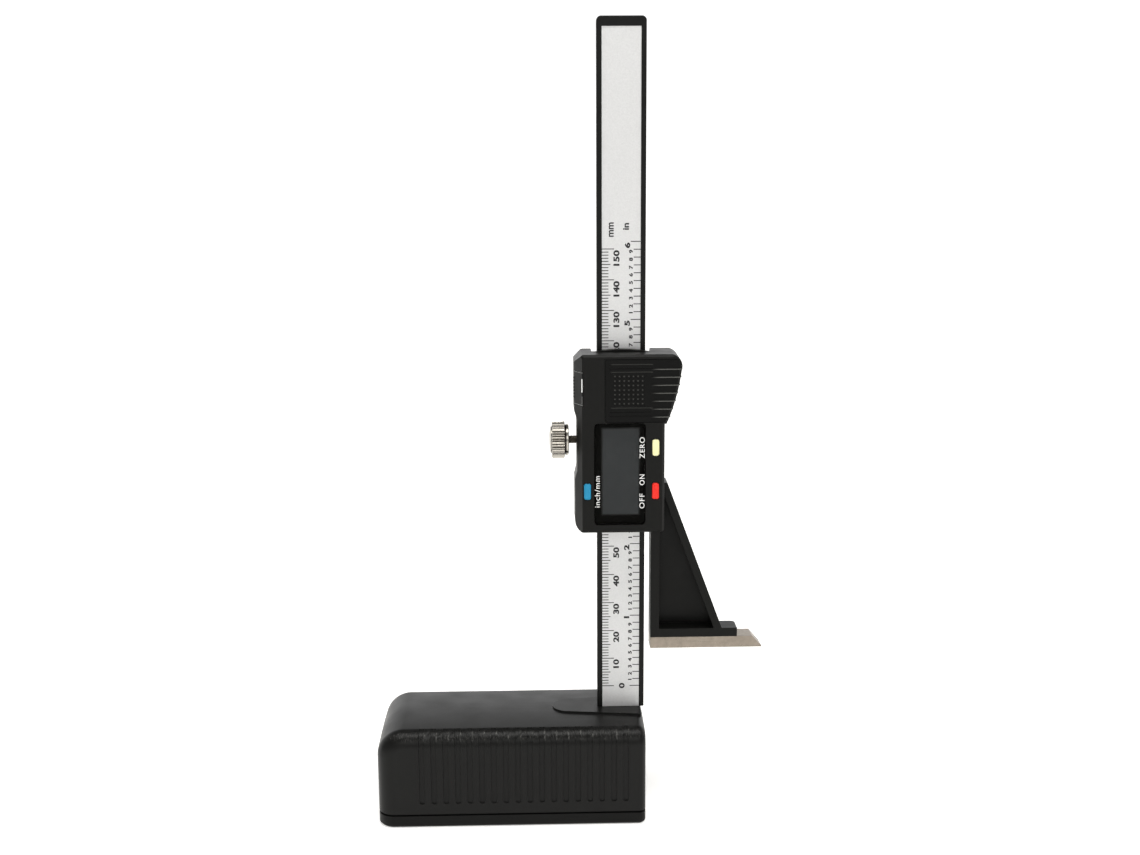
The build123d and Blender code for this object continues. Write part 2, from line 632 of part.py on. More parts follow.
def front_housing():
    """Display housing: face, window, button holes, battery floor and screw bosses."""
    cavity = slider_block(-BODY_LEFT + HOUSING_WALL, BODY_RIGHT - HOUSING_WALL, INNER_FRONT,
                          -SPLIT_FACE + 1, HOUSING_WALL, SLIDER_HEIGHT - HOUSING_WALL - EDGE_CHAMFER)
    floor_back = COVER_BACK + COVER_GAP + HOUSING_WALL
    cavity -= slider_block(-COVER_LEFT - TONGUE_LENGTH - 1, BODY_RIGHT + BULGE, -FRONT_FACE, floor_back,
                           COVER_BOTTOM - 0.1, SLIDER_HEIGHT)
    cavity -= slider_block(-BODY_LEFT - MARGIN, -PORT_INNER + PORT_WALL, -FRONT_FACE, 0,
                           PORT_BOTTOM - PORT_WALL, PORT_TOP + PORT_WALL)
    for u, w in CASE_SCREWS:
        cavity -= slider_rod(u, w, CASE_BOSS_RADIUS, -FRONT_FACE, 0)
    housing = front_form() - cavity - cover_zone(COVER_GAP) - cover_tongue(COVER_GAP)
    housing -= port_zone(COVER_GAP) + port_plug(COVER_GAP)
    housing -= prism_y(window_outline(-FIT_GAP / 3), -FRONT_FACE - 1, LENS_BACK)
    housing -= prism_y(window_outline(LENS_LEDGE - FIT_GAP), -FRONT_FACE, INNER_FRONT + 1)
    for u, w in BUTTONS.values():
        hole = rounded_rectangle(u, w, BUTTON_WIDTH + 2 * BUTTON_GAP, BUTTON_HEIGHT + 2 * BUTTON_GAP,
                                 BUTTON_ROUND)
        housing -= prism_y(hole, -FRONT_FACE - 1, INNER_FRONT + 1)
    housing -= slider_rod(CELL_X, CELL_Z, CELL_RADIUS + FIT_GAP, -FRONT_FACE, 0)
    for u, w in CASE_SCREWS:
        housing -= slider_rod(u, w, CASE_SCREW_RADIUS + FIT_GAP / 2, -CASE_SCREW_END - FIT_GAP, 0)
    return housing


def beam_collar():
    """Arched lip on the frame's top edge, in front of the beam."""
    low = SLIDER_HEIGHT - COLLAR_FALL
    outline = Polyline((COLLAR_HALF, low), (COLLAR_HALF, low - 1), (-COLLAR_HALF, low - 1), (-COLLAR_HALF, low))
    outline += ThreePointArc((-COLLAR_HALF, low), (0, SLIDER_HEIGHT + COLLAR_RISE), (COLLAR_HALF, low))
    place = Pos(BEAM_X, SLIDER_BOTTOM)
    return prism_y(place * make_face(outline), -COLLAR_FRONT, BOARD_BACK)


def top_notch():
    """Dip in the case's top edge beside and behind the beam."""
    return slider_block(-COLLAR_HALF, COLLAR_HALF, BOARD_BACK, BACK_FACE + 1, SLIDER_HEIGHT - NOTCH_DEPTH,
                        SLIDER_HEIGHT + 1)


def slider_frame():
    """Middle frame that runs on the beam, with its collar and the ribbed measuring arm."""
    frame = prism_y(slider_outline(), -SPLIT_FACE, FRAME_BACK)
    frame += beam_collar()
    frame -= top_notch()
    frame -= slider_block(-BODY_LEFT + BOARD_MARGIN, BODY_RIGHT - BOARD_MARGIN, -SPLIT_FACE - 1, BOARD_BACK,
                          BOARD_MARGIN, SLIDER_HEIGHT - BOARD_MARGIN)
    for u, w in CASE_SCREWS:
        frame += slider_rod(u, w, CASE_BOSS_RADIUS, -SPLIT_FACE, BOARD_BACK)
    for u, w in CASE_SCREWS:
        frame -= slider_rod(u, w, CASE_SCREW_RADIUS + FIT_GAP / 2, -SPLIT_FACE - 1, FRAME_BACK + 1)
    frame += measuring_arm()
    frame -= slider_block(GIB_OUTER, -GIB_INNER, BOARD_BACK, FRAME_BACK + 1, -1,
                          SLIDER_HEIGHT + COLLAR_RISE + 1)
    frame -= rod_x(0, SLIDER_BOTTOM + LOCK_Z, LOCK_BORE_RADIUS, BEAM_X - BODY_LEFT - MARGIN, BEAM_X + GIB_OUTER + 1)
    return frame


def measuring_arm():
    """Triangular bracket below the slider: three ribs round a thin web at the back."""
    foot = BLADE_TOP - SLIDER_BOTTOM
    ledge = FOOT_TOP - SLIDER_BOTTOM
    inside = BODY_RIGHT - 1
    outline = [(ARM_LEFT, foot), (ARM_FOOT_RIGHT, foot), (ARM_FOOT_RIGHT, ledge), (ARM_HEEL_X, ledge),
               (ARM_TIP_X, ARM_TIP_Z), (inside, ARM_TIP_Z), (inside, 1), (ARM_LEFT, 1)]
    face = make_face(Polyline(*outline, close=True))
    tip = face.vertices().filter_by(lambda v: math.dist((v.X, v.Y), (ARM_TIP_X, ARM_TIP_Z)) < 0.01)
    face = fillet(tip, ARM_CORNER)
    arm = prism_y(Pos(BEAM_X, SLIDER_BOTTOM) * face, -SPLIT_FACE, -SPLIT_FACE + ARM_DEPTH)
    end = arm.edges().filter_by(Axis.Z).group_by(Axis.X)[-1]
    arm = fillet(end.group_by(Axis.Y)[-1], 2 * ARM_CORNER)
    lean = (ARM_HEEL_X - ARM_TIP_X) / (ARM_TIP_Z - ledge)
    across = ARM_SLANT * math.hypot(1, lean)
    heel = ARM_HEEL_X - across
    peak = ARM_TIP_Z - (across - (ARM_TIP_X - BODY_RIGHT)) / lean if across > ARM_TIP_X - BODY_RIGHT else ARM_TIP_Z
    inner = ARM_LEFT + ARM_UPRIGHT
    pocket = [(inner, ledge), (heel, ledge), (BODY_RIGHT, peak), (BODY_RIGHT, -1), (inner, -1)]
    hollow = make_face(Polyline(*pocket, close=True))
    return arm - prism_y(Pos(BEAM_X, SLIDER_BOTTOM) * hollow, -SPLIT_FACE - 1, -SPLIT_FACE + ARM_DEPTH - ARM_WEB)


def back_cover():
    """Rear cover that closes the frame behind the beam."""
    cover = prism_y(slider_outline(), FRAME_BACK, BACK_FACE)
    cover = chamfer(cover.faces().sort_by(Axis.Y)[-1].edges(), EDGE_CHAMFER) - top_notch()
    for u, w in CASE_SCREWS:
        cover -= slider_rod(u, w, CASE_SCREW_RADIUS + FIT_GAP, 0, BACK_FACE + 1)
        cover -= slider_rod(u, w, CASE_HEAD_RADIUS + FIT_GAP, BACK_FACE - CASE_HEAD_THICK - 0.2, BACK_FACE + 1)
    return cover


def case_screws():
    """Four screws from the back through cover and frame into the display housing."""
    seat = BACK_FACE - CASE_HEAD_THICK - 0.2
    screws = Part()
    for u, w in CASE_SCREWS:
        head = slider_rod(u, w, CASE_HEAD_RADIUS, seat, seat + CASE_HEAD_THICK)
        head -= slider_block(u - 0.25, u + 0.25, seat + 0.6, BACK_FACE, w - 1.3, w + 1.3)
        head -= slider_block(u - 1.3, u + 1.3, seat + 0.6, BACK_FACE, w - 0.25, w + 0.25)
        screws += head + slider_rod(u, w, CASE_SCREW_RADIUS, -CASE_SCREW_END, seat)
    return screws


def gib_strip():
    """Thin brass strip between the beam's left edge and the frame."""
    half = BEAM_THICK / 2 - BEAM_CLEARANCE
    return slider_block(GIB_OUTER, GIB_INNER, -half, half, GIB_MARGIN, SLIDER_HEIGHT - GIB_MARGIN)


# ---- Display and electronics -------------------------------------------------------------
def display_lens():
    """Window of clear plastic with a dark printed border."""
    return prism_y(window_outline(0), LENS_FRONT, LENS_BACK)


def lcd_module():
    """Liquid crystal glass behind the window."""
    return prism_y(window_outline(LENS_LEDGE), LENS_BACK, LCD_BACK)


def contact_strips():
    """Two rubber strips that join the glass to the circuit board."""
    left = -WINDOW_LEFT + LENS_LEDGE
    right = WINDOW_RIGHT - LENS_LEDGE
    low = WINDOW_BOTTOM + 2 * LENS_LEDGE
    high = WINDOW_TOP - 2 * LENS_LEDGE
    strips = slider_block(left, left + ZEBRA_WIDTH, LCD_BACK, BOARD_FRONT, low, high)
    return strips + slider_block(right - ZEBRA_WIDTH, right, LCD_BACK, BOARD_FRONT, low, high)


def circuit_board():
    """Board with the sensing pattern on its back, seated on the frame's rails."""
    inset = BOARD_MARGIN + FIT_GAP
    board = slider_block(-BODY_LEFT + inset, BODY_RIGHT - inset, BOARD_FRONT, BOARD_BACK, inset,
                         SLIDER_HEIGHT - inset)
    for u, w in CASE_SCREWS:
        board -= slider_rod(u, w, CASE_BOSS_RADIUS + FIT_GAP, BOARD_FRONT - 1, BOARD_BACK + 1)
    return board


def driver_chip():
    """Blob of resin over the display driver."""
    half = CHIP_SIZE / 2
    middle = (WINDOW_BOTTOM + WINDOW_TOP) / 2
    chip = slider_block(-half, half, BOARD_FRONT - CHIP_THICK, BOARD_FRONT, middle - half, middle + half)
    return fillet(chip.edges().filter_by(Axis.Y), 1.5)


def snap_domes():
    """Three metal snap domes under the buttons."""
    domes = Part()
    for u, w in BUTTONS.values():
        domes += slider_rod(u, w, DOME_RADIUS, BOARD_FRONT - DOME_THICK, BOARD_FRONT)
    return domes


def button(u, w):
    """Coloured key: cap, flange behind the face and a short stem above its dome."""
    cap = prism_y(rounded_rectangle(u, w, BUTTON_WIDTH, BUTTON_HEIGHT, BUTTON_ROUND),
                  -FRONT_FACE - BUTTON_PROUD, INNER_FRONT + BUTTON_GAP)
    cap = chamfer(cap.faces().sort_by(Axis.Y)[0].edges(), BUTTON_PROUD * 0.8)
    reach_u = BUTTON_WIDTH / 2 + BUTTON_FLANGE
    reach_w = BUTTON_HEIGHT / 2 + BUTTON_FLANGE
    flange_back = INNER_FRONT + BUTTON_GAP + BUTTON_FLANGE_THICK
    cap += slider_block(u - reach_u, u + reach_u, INNER_FRONT + BUTTON_GAP, flange_back, w - reach_w, w + reach_w)
    stem = BUTTON_WIDTH / 3
    stem_end = BOARD_FRONT - DOME_THICK - BUTTON_TRAVEL - BUTTON_GAP
    return cap + slider_block(u - stem, u + stem, flange_back, stem_end, w - stem, w + stem)


# ---- Battery -----------------------------------------------------------------------------
def battery_cell():
    """Button cell lying on its contact."""
    back = BOARD_FRONT - CONTACT_THICK
    cell = slider_rod(CELL_X, CELL_Z, CELL_RADIUS, back - CELL_THICK, back)
    return chamfer(cell.edges(), 0.4)


def negative_contact():
    """Flat spring contact on the board under the cell."""
    half = CELL_RADIUS / 2
    return slider_block(CELL_X - half, CELL_X + half, BOARD_FRONT - CONTACT_THICK, BOARD_FRONT,
                        CELL_Z - half / 2, CELL_Z + half / 2)


def positive_contact():
    """Upright spring contact that touches the cell's rim."""
    rim = CELL_X - CELL_RADIUS
    half = CELL_RADIUS / 2
    leaf = slider_block(rim - CONTACT_THICK, rim, BOARD_FRONT - CELL_THICK * 0.8, BOARD_FRONT,
                        CELL_Z - half, CELL_Z + half)
    return leaf + slider_block(rim - 4 * CONTACT_THICK, rim, BOARD_FRONT - CONTACT_THICK, BOARD_FRONT,
                               CELL_Z - half, CELL_Z + half)


def dot_pattern():
    """Square grid of small pits in the cover's face."""
    reach = (DOT_COUNT - 1) / 2
    pits = Sketch()
    for column in range(DOT_COUNT):
        for row in range(DOT_COUNT):
            u = CELL_X + (column - reach) * DOT_PITCH
            w = CELL_Z + (row - reach) * DOT_PITCH
            pits += Pos(BEAM_X + u, SLIDER_BOTTOM + w) * Rectangle(DOT_SIZE, DOT_SIZE)
    return prism_y(pits, -FRONT_FACE - 1, -FRONT_FACE + DOT_DEPTH)


def cover_lines():
    """Fine lines across the cover's face, above and below the dots."""
    lines = Part()
    for index in range(LINE_COUNT):
        for side in (-1, 1):
            w = CELL_Z + side * (LINE_FIRST + index * LINE_PITCH)
            lines += slider_block(-LINE_LEFT, RIB_LEFT, -FRONT_FACE - 1, -FRONT_FACE + LINE_DEPTH,
                                  w - LINE_WIDTH / 2, w + LINE_WIDTH / 2)
    return lines


def grip_ribs():
    """Low ribs across the cover's right part that run on round its side."""
    ribs = Part()
    face = -FRONT_FACE
    for index in range(RIB_COUNT):
        w = COVER_BOTTOM + RIB_FIRST + index * RIB_PITCH
        edge = bulge_edge(w)
        outline = Polyline((RIB_LEFT, face + 1), (RIB_LEFT, face), (RIB_LEFT + RIB_PROUD, face - RIB_PROUD),
                           (edge - EDGE_CHAMFER, face - RIB_PROUD), (edge + RIB_PROUD, face + EDGE_CHAMFER),
                           (edge + RIB_PROUD, -SPLIT_FACE), (edge - 1, -SPLIT_FACE), (edge - 1, face + 1),
                           close=True)
        place = Plane.XY.offset(SLIDER_BOTTOM + w - RIB_SIZE / 2) * Pos(BEAM_X, 0)
        ribs += extrude(place * make_face(outline), amount=RIB_SIZE)
    return ribs


def battery_cover():
    """Sliding cover over the cell: thin plate, thick ribbed end, tongue at the left."""
    return (front_form() & cover_zone(0)) + cover_tongue(0) - dot_pattern() - cover_lines() + grip_ribs()


# ---- Data port ---------------------------------------------------------------------------
def port_cover():
    """Small cover on the left bevel, with a plug and finger teeth."""
    cover = (front_form() & port_zone(0)) + port_plug(0)
    middle = (PORT_BOTTOM + PORT_TOP) / 2
    edge = -(BODY_LEFT + SHOULDER_STEP)
    y = -SPLIT_FACE - PORT_TOOTH_SIZE
    for index in range(PORT_TEETH):
        w = middle + (index - (PORT_TEETH - 1) / 2) * PORT_TOOTH_PITCH
        place = Pos(BEAM_X + edge, y, SLIDER_BOTTOM + w) * Rot(0, 45, 0)
        cover += place * Box(PORT_TOOTH_SIZE, 2 * PORT_TOOTH_SIZE, PORT_TOOTH_SIZE)
    return cover


def port_contacts():
    """Gilt contact fingers at the board's left edge, behind the port."""
    left = -BODY_LEFT + BOARD_MARGIN + 2 * FIT_GAP
    low = PORT_BOTTOM + PORT_PLUG_MARGIN
    pitch = (PORT_TOP - PORT_PLUG_MARGIN - low) / PORT_CONTACTS
    fingers = Part()
    for index in range(PORT_CONTACTS):
        w = low + (index + 0.5) * pitch
        fingers += slider_block(left, left + 2.0, BOARD_FRONT - 0.3, BOARD_FRONT, w - pitch / 4, w + pitch / 4)
    return fingers


# ---- Lock screw --------------------------------------------------------------------------
def lock_pad():
    """Brass pad between the lock screw's tip and the gib."""
    right = BEAM_X + GIB_OUTER - LOCK_GAP
    return rod_x(0, SLIDER_BOTTOM + LOCK_Z, LOCK_SHAFT_RADIUS, right - LOCK_PAD_LENGTH, right)


def lock_shaft():
    """Threaded shaft of the lock screw."""
    end = BEAM_X - BODY_LEFT - KNOB_STANDOFF
    return rod_x(0, SLIDER_BOTTOM + LOCK_Z, LOCK_SHAFT_RADIUS, end, BEAM_X + LOCK_TIP)


def lock_knob():
    """Knurled thumb nut with a domed outer end and a short collet."""
    points = []
    for index in range(2 * KNOB_TEETH):
        radius = KNOB_RADIUS if index % 2 == 0 else KNOB_RADIUS - KNOB_TOOTH_DEPTH
        angle = math.pi * index / KNOB_TEETH
        points.append((radius * math.cos(angle), radius * math.sin(angle)))
    right = BEAM_X - BODY_LEFT - KNOB_STANDOFF
    inner = right - COLLET_LENGTH
    outer = inner - KNOB_LENGTH
    plane = Plane(origin=(outer, 0, SLIDER_BOTTOM + LOCK_Z), x_dir=(0, 1, 0), z_dir=(1, 0, 0))
    knurl = extrude(plane * make_face(Polyline(*points, close=True)), amount=KNOB_LENGTH)
    profile = Polyline((0, 0), (KNOB_RADIUS - 1.6 * KNOB_DOME, 0), (KNOB_RADIUS, KNOB_DOME),
                       (KNOB_RADIUS, KNOB_LENGTH - KNOB_DOME / 2),
                       (KNOB_RADIUS - KNOB_DOME / 2, KNOB_LENGTH), (0, KNOB_LENGTH), close=True)
    side = Plane(origin=plane.origin, x_dir=(0, 1, 0), z_dir=(0, 0, -1))
    turned = revolve(side * make_face(profile), axis=Axis(plane.origin, (1, 0, 0)))
    knob = knurl & turned
    return knob + rod_x(0, SLIDER_BOTTOM + LOCK_Z, COLLET_RADIUS, inner, right)


# ---- Blade -------------------------------------------------------------------------------
def blade_screw_places():
    """Places along the blade where it is screwed to the arm."""
    return [BEAM_X + BLADE_SCREW_1, BEAM_X + BLADE_SCREW_2]


def arm_middle():
    """Middle plane of the arm and the blade."""
    return -SPLIT_FACE + ARM_DEPTH / 2


def countersink(x, radius, rise):
    """Cone that opens downwards at the blade's underside."""
    cone = Cone(BLADE_HEAD_RADIUS + rise, radius, BLADE_HEAD_RADIUS - radius + rise)
    height = BLADE_HEAD_RADIUS - radius + rise
    return Pos(x, arm_middle(), BLADE_BOTTOM + BLADE_HEAD_SUNK - rise + height / 2) * cone


def measuring_blade():
    """Hardened steel blade, bevelled at its tip to an edge level with the measuring face."""
    left = BEAM_X + ARM_LEFT
    right = BEAM_X + BLADE_RIGHT
    back = -SPLIT_FACE + ARM_DEPTH
    plan = Polyline((left, -SPLIT_FACE), (right, -SPLIT_FACE), (right - BLADE_SKEW, back), (left, back), close=True)
    blade = extrude(Plane.XY.offset(BLADE_BOTTOM) * make_face(plan), amount=BLADE_THICK)
    angle = math.degrees(math.atan2(BLADE_SKEW, ARM_DEPTH))
    reach = BLADE_THICK * 3
    wedge = Polyline((0, 0.15), (0, reach), (-BLADE_BEVEL * reach / BLADE_THICK, reach), close=True)
    cut = extrude(Plane.XZ.offset(-MARGIN * 2) * make_face(wedge), amount=MARGIN * 6)
    place = Pos(right, -SPLIT_FACE, BLADE_BOTTOM) * Rot(0, 0, angle)
    return blade - place * cut


def blade_with_holes():
    """Blade with its two countersunk holes."""
    blade = measuring_blade()
    for x in blade_screw_places():
        blade -= rod_z(x, arm_middle(), BLADE_SCREW_RADIUS + FIT_GAP, BLADE_BOTTOM - 1, BLADE_TOP + 1)
        blade -= countersink(x, BLADE_SCREW_RADIUS, BLADE_HEAD_SUNK + FIT_GAP)
    return blade


def blade_screws():
    """Two countersunk screws from below through the blade into the arm's foot."""
    screws = Part()
    for x in blade_screw_places():
        screws += countersink(x, BLADE_SCREW_RADIUS, 0)
        screws += rod_z(x, arm_middle(), BLADE_SCREW_RADIUS, BLADE_BOTTOM + BLADE_HEAD_SUNK + 0.5, FOOT_TOP - 0.4)
    return screws


def frame_with_blade_holes():
    """Slider frame with the holes in its foot that take the blade's screws."""
    frame = slider_frame()
    for x in blade_screw_places():
        frame -= rod_z(x, arm_middle(), BLADE_SCREW_RADIUS + FIT_GAP / 2, BLADE_TOP - 1, FOOT_TOP - 0.2)
    return frame


# ---- Write every piece -------------------------------------------------------------------
def main():
    label_front = BEAM_FRONT + LABEL_SUNK
    label_back = label_front + LABEL_THICK
    pieces = {
        "base_housing": base_housing(),
        "base_plate": base_plate(),
        "base_screws": base_screws(),
        "ballast_block": ballast(),
        "beam": beam(),
        "scale_strip": scale_layer(label_back, label_back + STRIP_THICK),
        "scale_label": scale_layer(label_front, label_back),
        "beam_clamp": beam_clamp(),
        "clamp_screws": clamp_screws(),
        "slider_frame": frame_with_blade_holes(),
        "front_housing": front_housing(),
        "back_cover": back_cover(),
        "case_screws": case_screws(),
        "gib_strip": gib_strip(),
        "display_lens": display_lens(),
        "lcd_module": lcd_module(),
        "contact_strips": contact_strips(),
        "circuit_board": circuit_board(),
        "driver_chip": driver_chip(),
        "snap_domes": snap_domes(),
        "battery_cell": battery_cell(),
        "negative_contact": negative_contact(),
        "positive_contact": positive_contact(),
        "battery_cover": battery_cover(),
        "port_cover": port_cover(),
        "port_contacts": port_contacts(),
        "lock_pad": lock_pad(),
        "lock_shaft": lock_shaft(),
        "lock_knob": lock_knob(),
        "measuring_blade": blade_with_holes(),
        "blade_screws": blade_screws(),
    }
    for name, (u, w) in BUTTONS.items():
        pieces[name] = button(u, w)
    os.makedirs("parts", exist_ok=True)
    for name, piece in pieces.items():
        export_step(piece, f"parts/{name}.step")


main()
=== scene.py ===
"""Looks of the digital height gauge: the finish of every piece, the printed scale, the display's
print, the lock screw's thread and knurl, and the soft studio that it stands in. Metres throughout."""
import json
import math

import bmesh
import bpy
from mathutils import Matrix, Vector

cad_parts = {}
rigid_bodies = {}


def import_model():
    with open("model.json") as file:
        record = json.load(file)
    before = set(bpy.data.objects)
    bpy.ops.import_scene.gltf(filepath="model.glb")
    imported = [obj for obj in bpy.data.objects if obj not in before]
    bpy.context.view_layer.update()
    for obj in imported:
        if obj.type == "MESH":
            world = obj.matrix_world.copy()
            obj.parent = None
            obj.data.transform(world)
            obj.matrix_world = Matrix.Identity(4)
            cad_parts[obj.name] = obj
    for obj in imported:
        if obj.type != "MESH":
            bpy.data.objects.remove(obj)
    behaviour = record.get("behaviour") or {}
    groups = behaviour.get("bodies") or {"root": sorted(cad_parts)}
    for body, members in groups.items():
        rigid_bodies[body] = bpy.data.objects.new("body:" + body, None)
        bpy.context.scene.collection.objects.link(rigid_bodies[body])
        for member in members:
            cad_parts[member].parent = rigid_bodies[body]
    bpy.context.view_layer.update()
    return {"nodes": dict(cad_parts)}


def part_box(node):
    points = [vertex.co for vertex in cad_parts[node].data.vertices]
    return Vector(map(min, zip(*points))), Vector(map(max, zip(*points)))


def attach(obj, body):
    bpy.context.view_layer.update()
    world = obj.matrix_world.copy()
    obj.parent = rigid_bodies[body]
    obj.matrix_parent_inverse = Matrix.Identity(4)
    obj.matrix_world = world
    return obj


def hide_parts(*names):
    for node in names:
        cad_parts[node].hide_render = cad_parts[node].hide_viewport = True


bpy.ops.object.select_all(action="SELECT")
bpy.ops.object.delete()
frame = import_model()
MM = 0.001


# ---- Base housing ------------------------------------------------------------------------
# The heavy foot: a moulded black ABS shell with a crowned top and finger grooves in both long
# sides. Its spark-eroded mould leaves a fine grain. Its long shoulders carry pale specks, partly
# scuffs from handling and partly painted highlight, and painted highlights along the grooves' edges.
def linear(code):
    """Turns an sRGB hex colour into the linear values that nodes take."""
    parts = [int(code[i:i + 2], 16) / 255 for i in (0, 2, 4)]
    return [c / 12.92 if c <= 0.04045 else ((c + 0.055) / 1.055) ** 2.4 for c in parts] + [1.0]


def node(tree, kind, inputs=None, **settings):
    """Adds one node: settings are its own values, inputs are numbers or other nodes' outputs."""
    made = tree.nodes.new(kind)
    for name, value in settings.items():
        setattr(made, name, value)
    for name, value in (inputs or {}).items():
        if isinstance(value, bpy.types.NodeSocket):
            tree.links.new(value, made.inputs[name])
        else:
            made.inputs[name].default_value = value
    return made


MIX_FIRST, MIX_SECOND, MIX_COLOUR = 6, 7, 2     # a Mix node's colour inputs and its colour output


def new_finish(name):
    """Empty material with its shader joined to the output."""
    finish = bpy.data.materials.new(name)
    finish.use_nodes = True
    tree = finish.node_tree
    tree.nodes.clear()
    shader = node(tree, "ShaderNodeBsdfPrincipled")
    node(tree, "ShaderNodeOutputMaterial", {"Surface": shader.outputs["BSDF"]})
    return finish, tree, shader


def moulded_plastic(name, colour, worn_colour, roughness, grain_mm, specular, grain_depth_mm=0.02):
    """Plastic, rubber, resin or board: fine grain, and clouds of uneven gloss and tone. On black it gives
    a deep satin. The grain is drawn coarser than a real mould leaves it, so that it shows."""
    finish, tree, shader = new_finish(name)
    place = node(tree, "ShaderNodeTexCoord").outputs["Object"]
    cloud = node(tree, "ShaderNodeTexNoise", {"Vector": place, "Scale": 1 / (9 * MM), "Detail": 4.0})
    grain = node(tree, "ShaderNodeTexNoise", {"Vector": place, "Scale": 1 / (grain_mm * MM), "Detail": 2.0})
    tone = node(tree, "ShaderNodeMix", {0: cloud.outputs["Fac"], MIX_FIRST: linear(colour),
                                        MIX_SECOND: linear(worn_colour)}, data_type="RGBA")
    gloss = node(tree, "ShaderNodeMapRange", {"Value": cloud.outputs["Fac"], "From Min": 0.3,
                                              "From Max": 0.7, "To Min": roughness - 0.05,
                                              "To Max": roughness + 0.06})
    relief = node(tree, "ShaderNodeBump", {"Height": grain.outputs["Fac"], "Strength": 0.35,
                                           "Distance": grain_depth_mm * MM})
    tree.links.new(tone.outputs[MIX_COLOUR], shader.inputs["Base Color"])
    tree.links.new(gloss.outputs["Result"], shader.inputs["Roughness"])
    tree.links.new(relief.outputs["Normal"], shader.inputs["Normal"])
    shader.inputs["Specular IOR Level"].default_value = specular
    return finish, tree, shader


SHARP = math.radians(32)    # edges sharper than this stay crisp


def crisp_edges():
    """Modifier tree that shades smoothly and keeps sharp edges crisp."""
    group = bpy.data.node_groups.new("crisp_edges", "GeometryNodeTree")
    group.interface.new_socket("Geometry", in_out="INPUT", socket_type="NodeSocketGeometry")
    group.interface.new_socket("Geometry", in_out="OUTPUT", socket_type="NodeSocketGeometry")
    entry = node(group, "NodeGroupInput")
    angle = node(group, "GeometryNodeInputMeshEdgeAngle")
    gentle = node(group, "FunctionNodeCompare", {"A": angle.outputs["Unsigned Angle"], "B": SHARP},
                  operation="LESS_THAN")
    faces = node(group, "GeometryNodeSetShadeSmooth", {"Geometry": entry.outputs[0]}, domain="FACE")
    edges = node(group, "GeometryNodeSetShadeSmooth",
                 {"Geometry": faces.outputs[0], "Shade Smooth": gentle.outputs["Result"]}, domain="EDGE")
    node(group, "NodeGroupOutput", {0: edges.outputs[0]})
    return group


CRISP = crisp_edges()


def smooth(piece):
    """Shades a piece smoothly but for its sharp edges."""
    shade = piece.modifiers.new("shade", "NODES")
    shade.node_group = CRISP


def dress(name, finish, round_mm=0.12, join_flats=True):
    """Gives a CAD piece its finish, joins its flat faces, breaks its sharp edges and evens its shading."""
    piece = frame["nodes"][name]
    mesh = piece.data
    mesh.materials.clear()
    mesh.materials.append(finish)
    if "custom_normal" in mesh.attributes:
        mesh.attributes.remove(mesh.attributes["custom_normal"])
    weld = piece.modifiers.new("weld", "WELD")
    weld.merge_threshold = 0.001 * MM
    if join_flats:
        flat = piece.modifiers.new("flat", "DECIMATE")
        flat.decimate_type = "DISSOLVE"
        flat.angle_limit = math.radians(0.4)
    if round_mm:
        edge = piece.modifiers.new("edge", "BEVEL")
        edge.width = round_mm * MM
        edge.segments = 2
        edge.angle_limit = SHARP
        edge.use_clamp_overlap = False
        edge.miter_outer = "MITER_ARC"
    smooth(piece)
    even = piece.modifiers.new("even", "WEIGHTED_NORMAL")
    even.keep_sharp = True
    even.weight = 60


def stripe(tree, value, centre, half, soft):
    """Mask that is 1 within half a width of a centre and fades out over a soft edge, in mm."""
    away = node(tree, "ShaderNodeMath", {0: value, 1: centre * MM}, operation="SUBTRACT")
    size = node(tree, "ShaderNodeMath", {0: away.outputs[0]}, operation="ABSOLUTE")
    mask = node(tree, "ShaderNodeMapRange", {"Value": size.outputs[0], "From Min": (half + soft) * MM,
                                             "From Max": half * MM}, interpolation_type="SMOOTHSTEP")
    return mask.outputs[0]


def stripes(tree, value, first, pitch, half, soft):
    """The same mask repeated at a pitch, from a first centre, in mm."""
    shift = node(tree, "ShaderNodeMath", {0: value, 1: first * MM}, operation="SUBTRACT")
    near = node(tree, "ShaderNodeMath", {0: shift.outputs[0], 1: pitch / 2 * MM, 2: -pitch / 2 * MM},
                operation="WRAP")
    return stripe(tree, near.outputs[0], 0.0, half, soft)


def where_all(tree, *masks):
    """Mask of the places that every mask covers. A plain number thins it."""
    covered = masks[0]
    for mask in masks[1:]:
        covered = node(tree, "ShaderNodeMath", {0: covered, 1: mask}, operation="MULTIPLY").outputs[0]
    return covered


def where_any(tree, *masks):
    """Mask of the places that at least one mask covers."""
    covered = masks[0]
    for mask in masks[1:]:
        covered = node(tree, "ShaderNodeMath", {0: covered, 1: mask}, operation="MAXIMUM").outputs[0]
    return covered


def wear(tree, shader, mask, colour):
    """Lays a colour over a finish where a mask is; here it paints wear, painted highlights and painted
    shade.
    """
    bare = shader.inputs["Base Color"].links[0].from_socket
    overlaid = node(tree, "ShaderNodeMix", {0: mask, MIX_FIRST: bare, MIX_SECOND: linear(colour)},
                data_type="RGBA")
    tree.links.new(overlaid.outputs[MIX_COLOUR], shader.inputs["Base Color"])


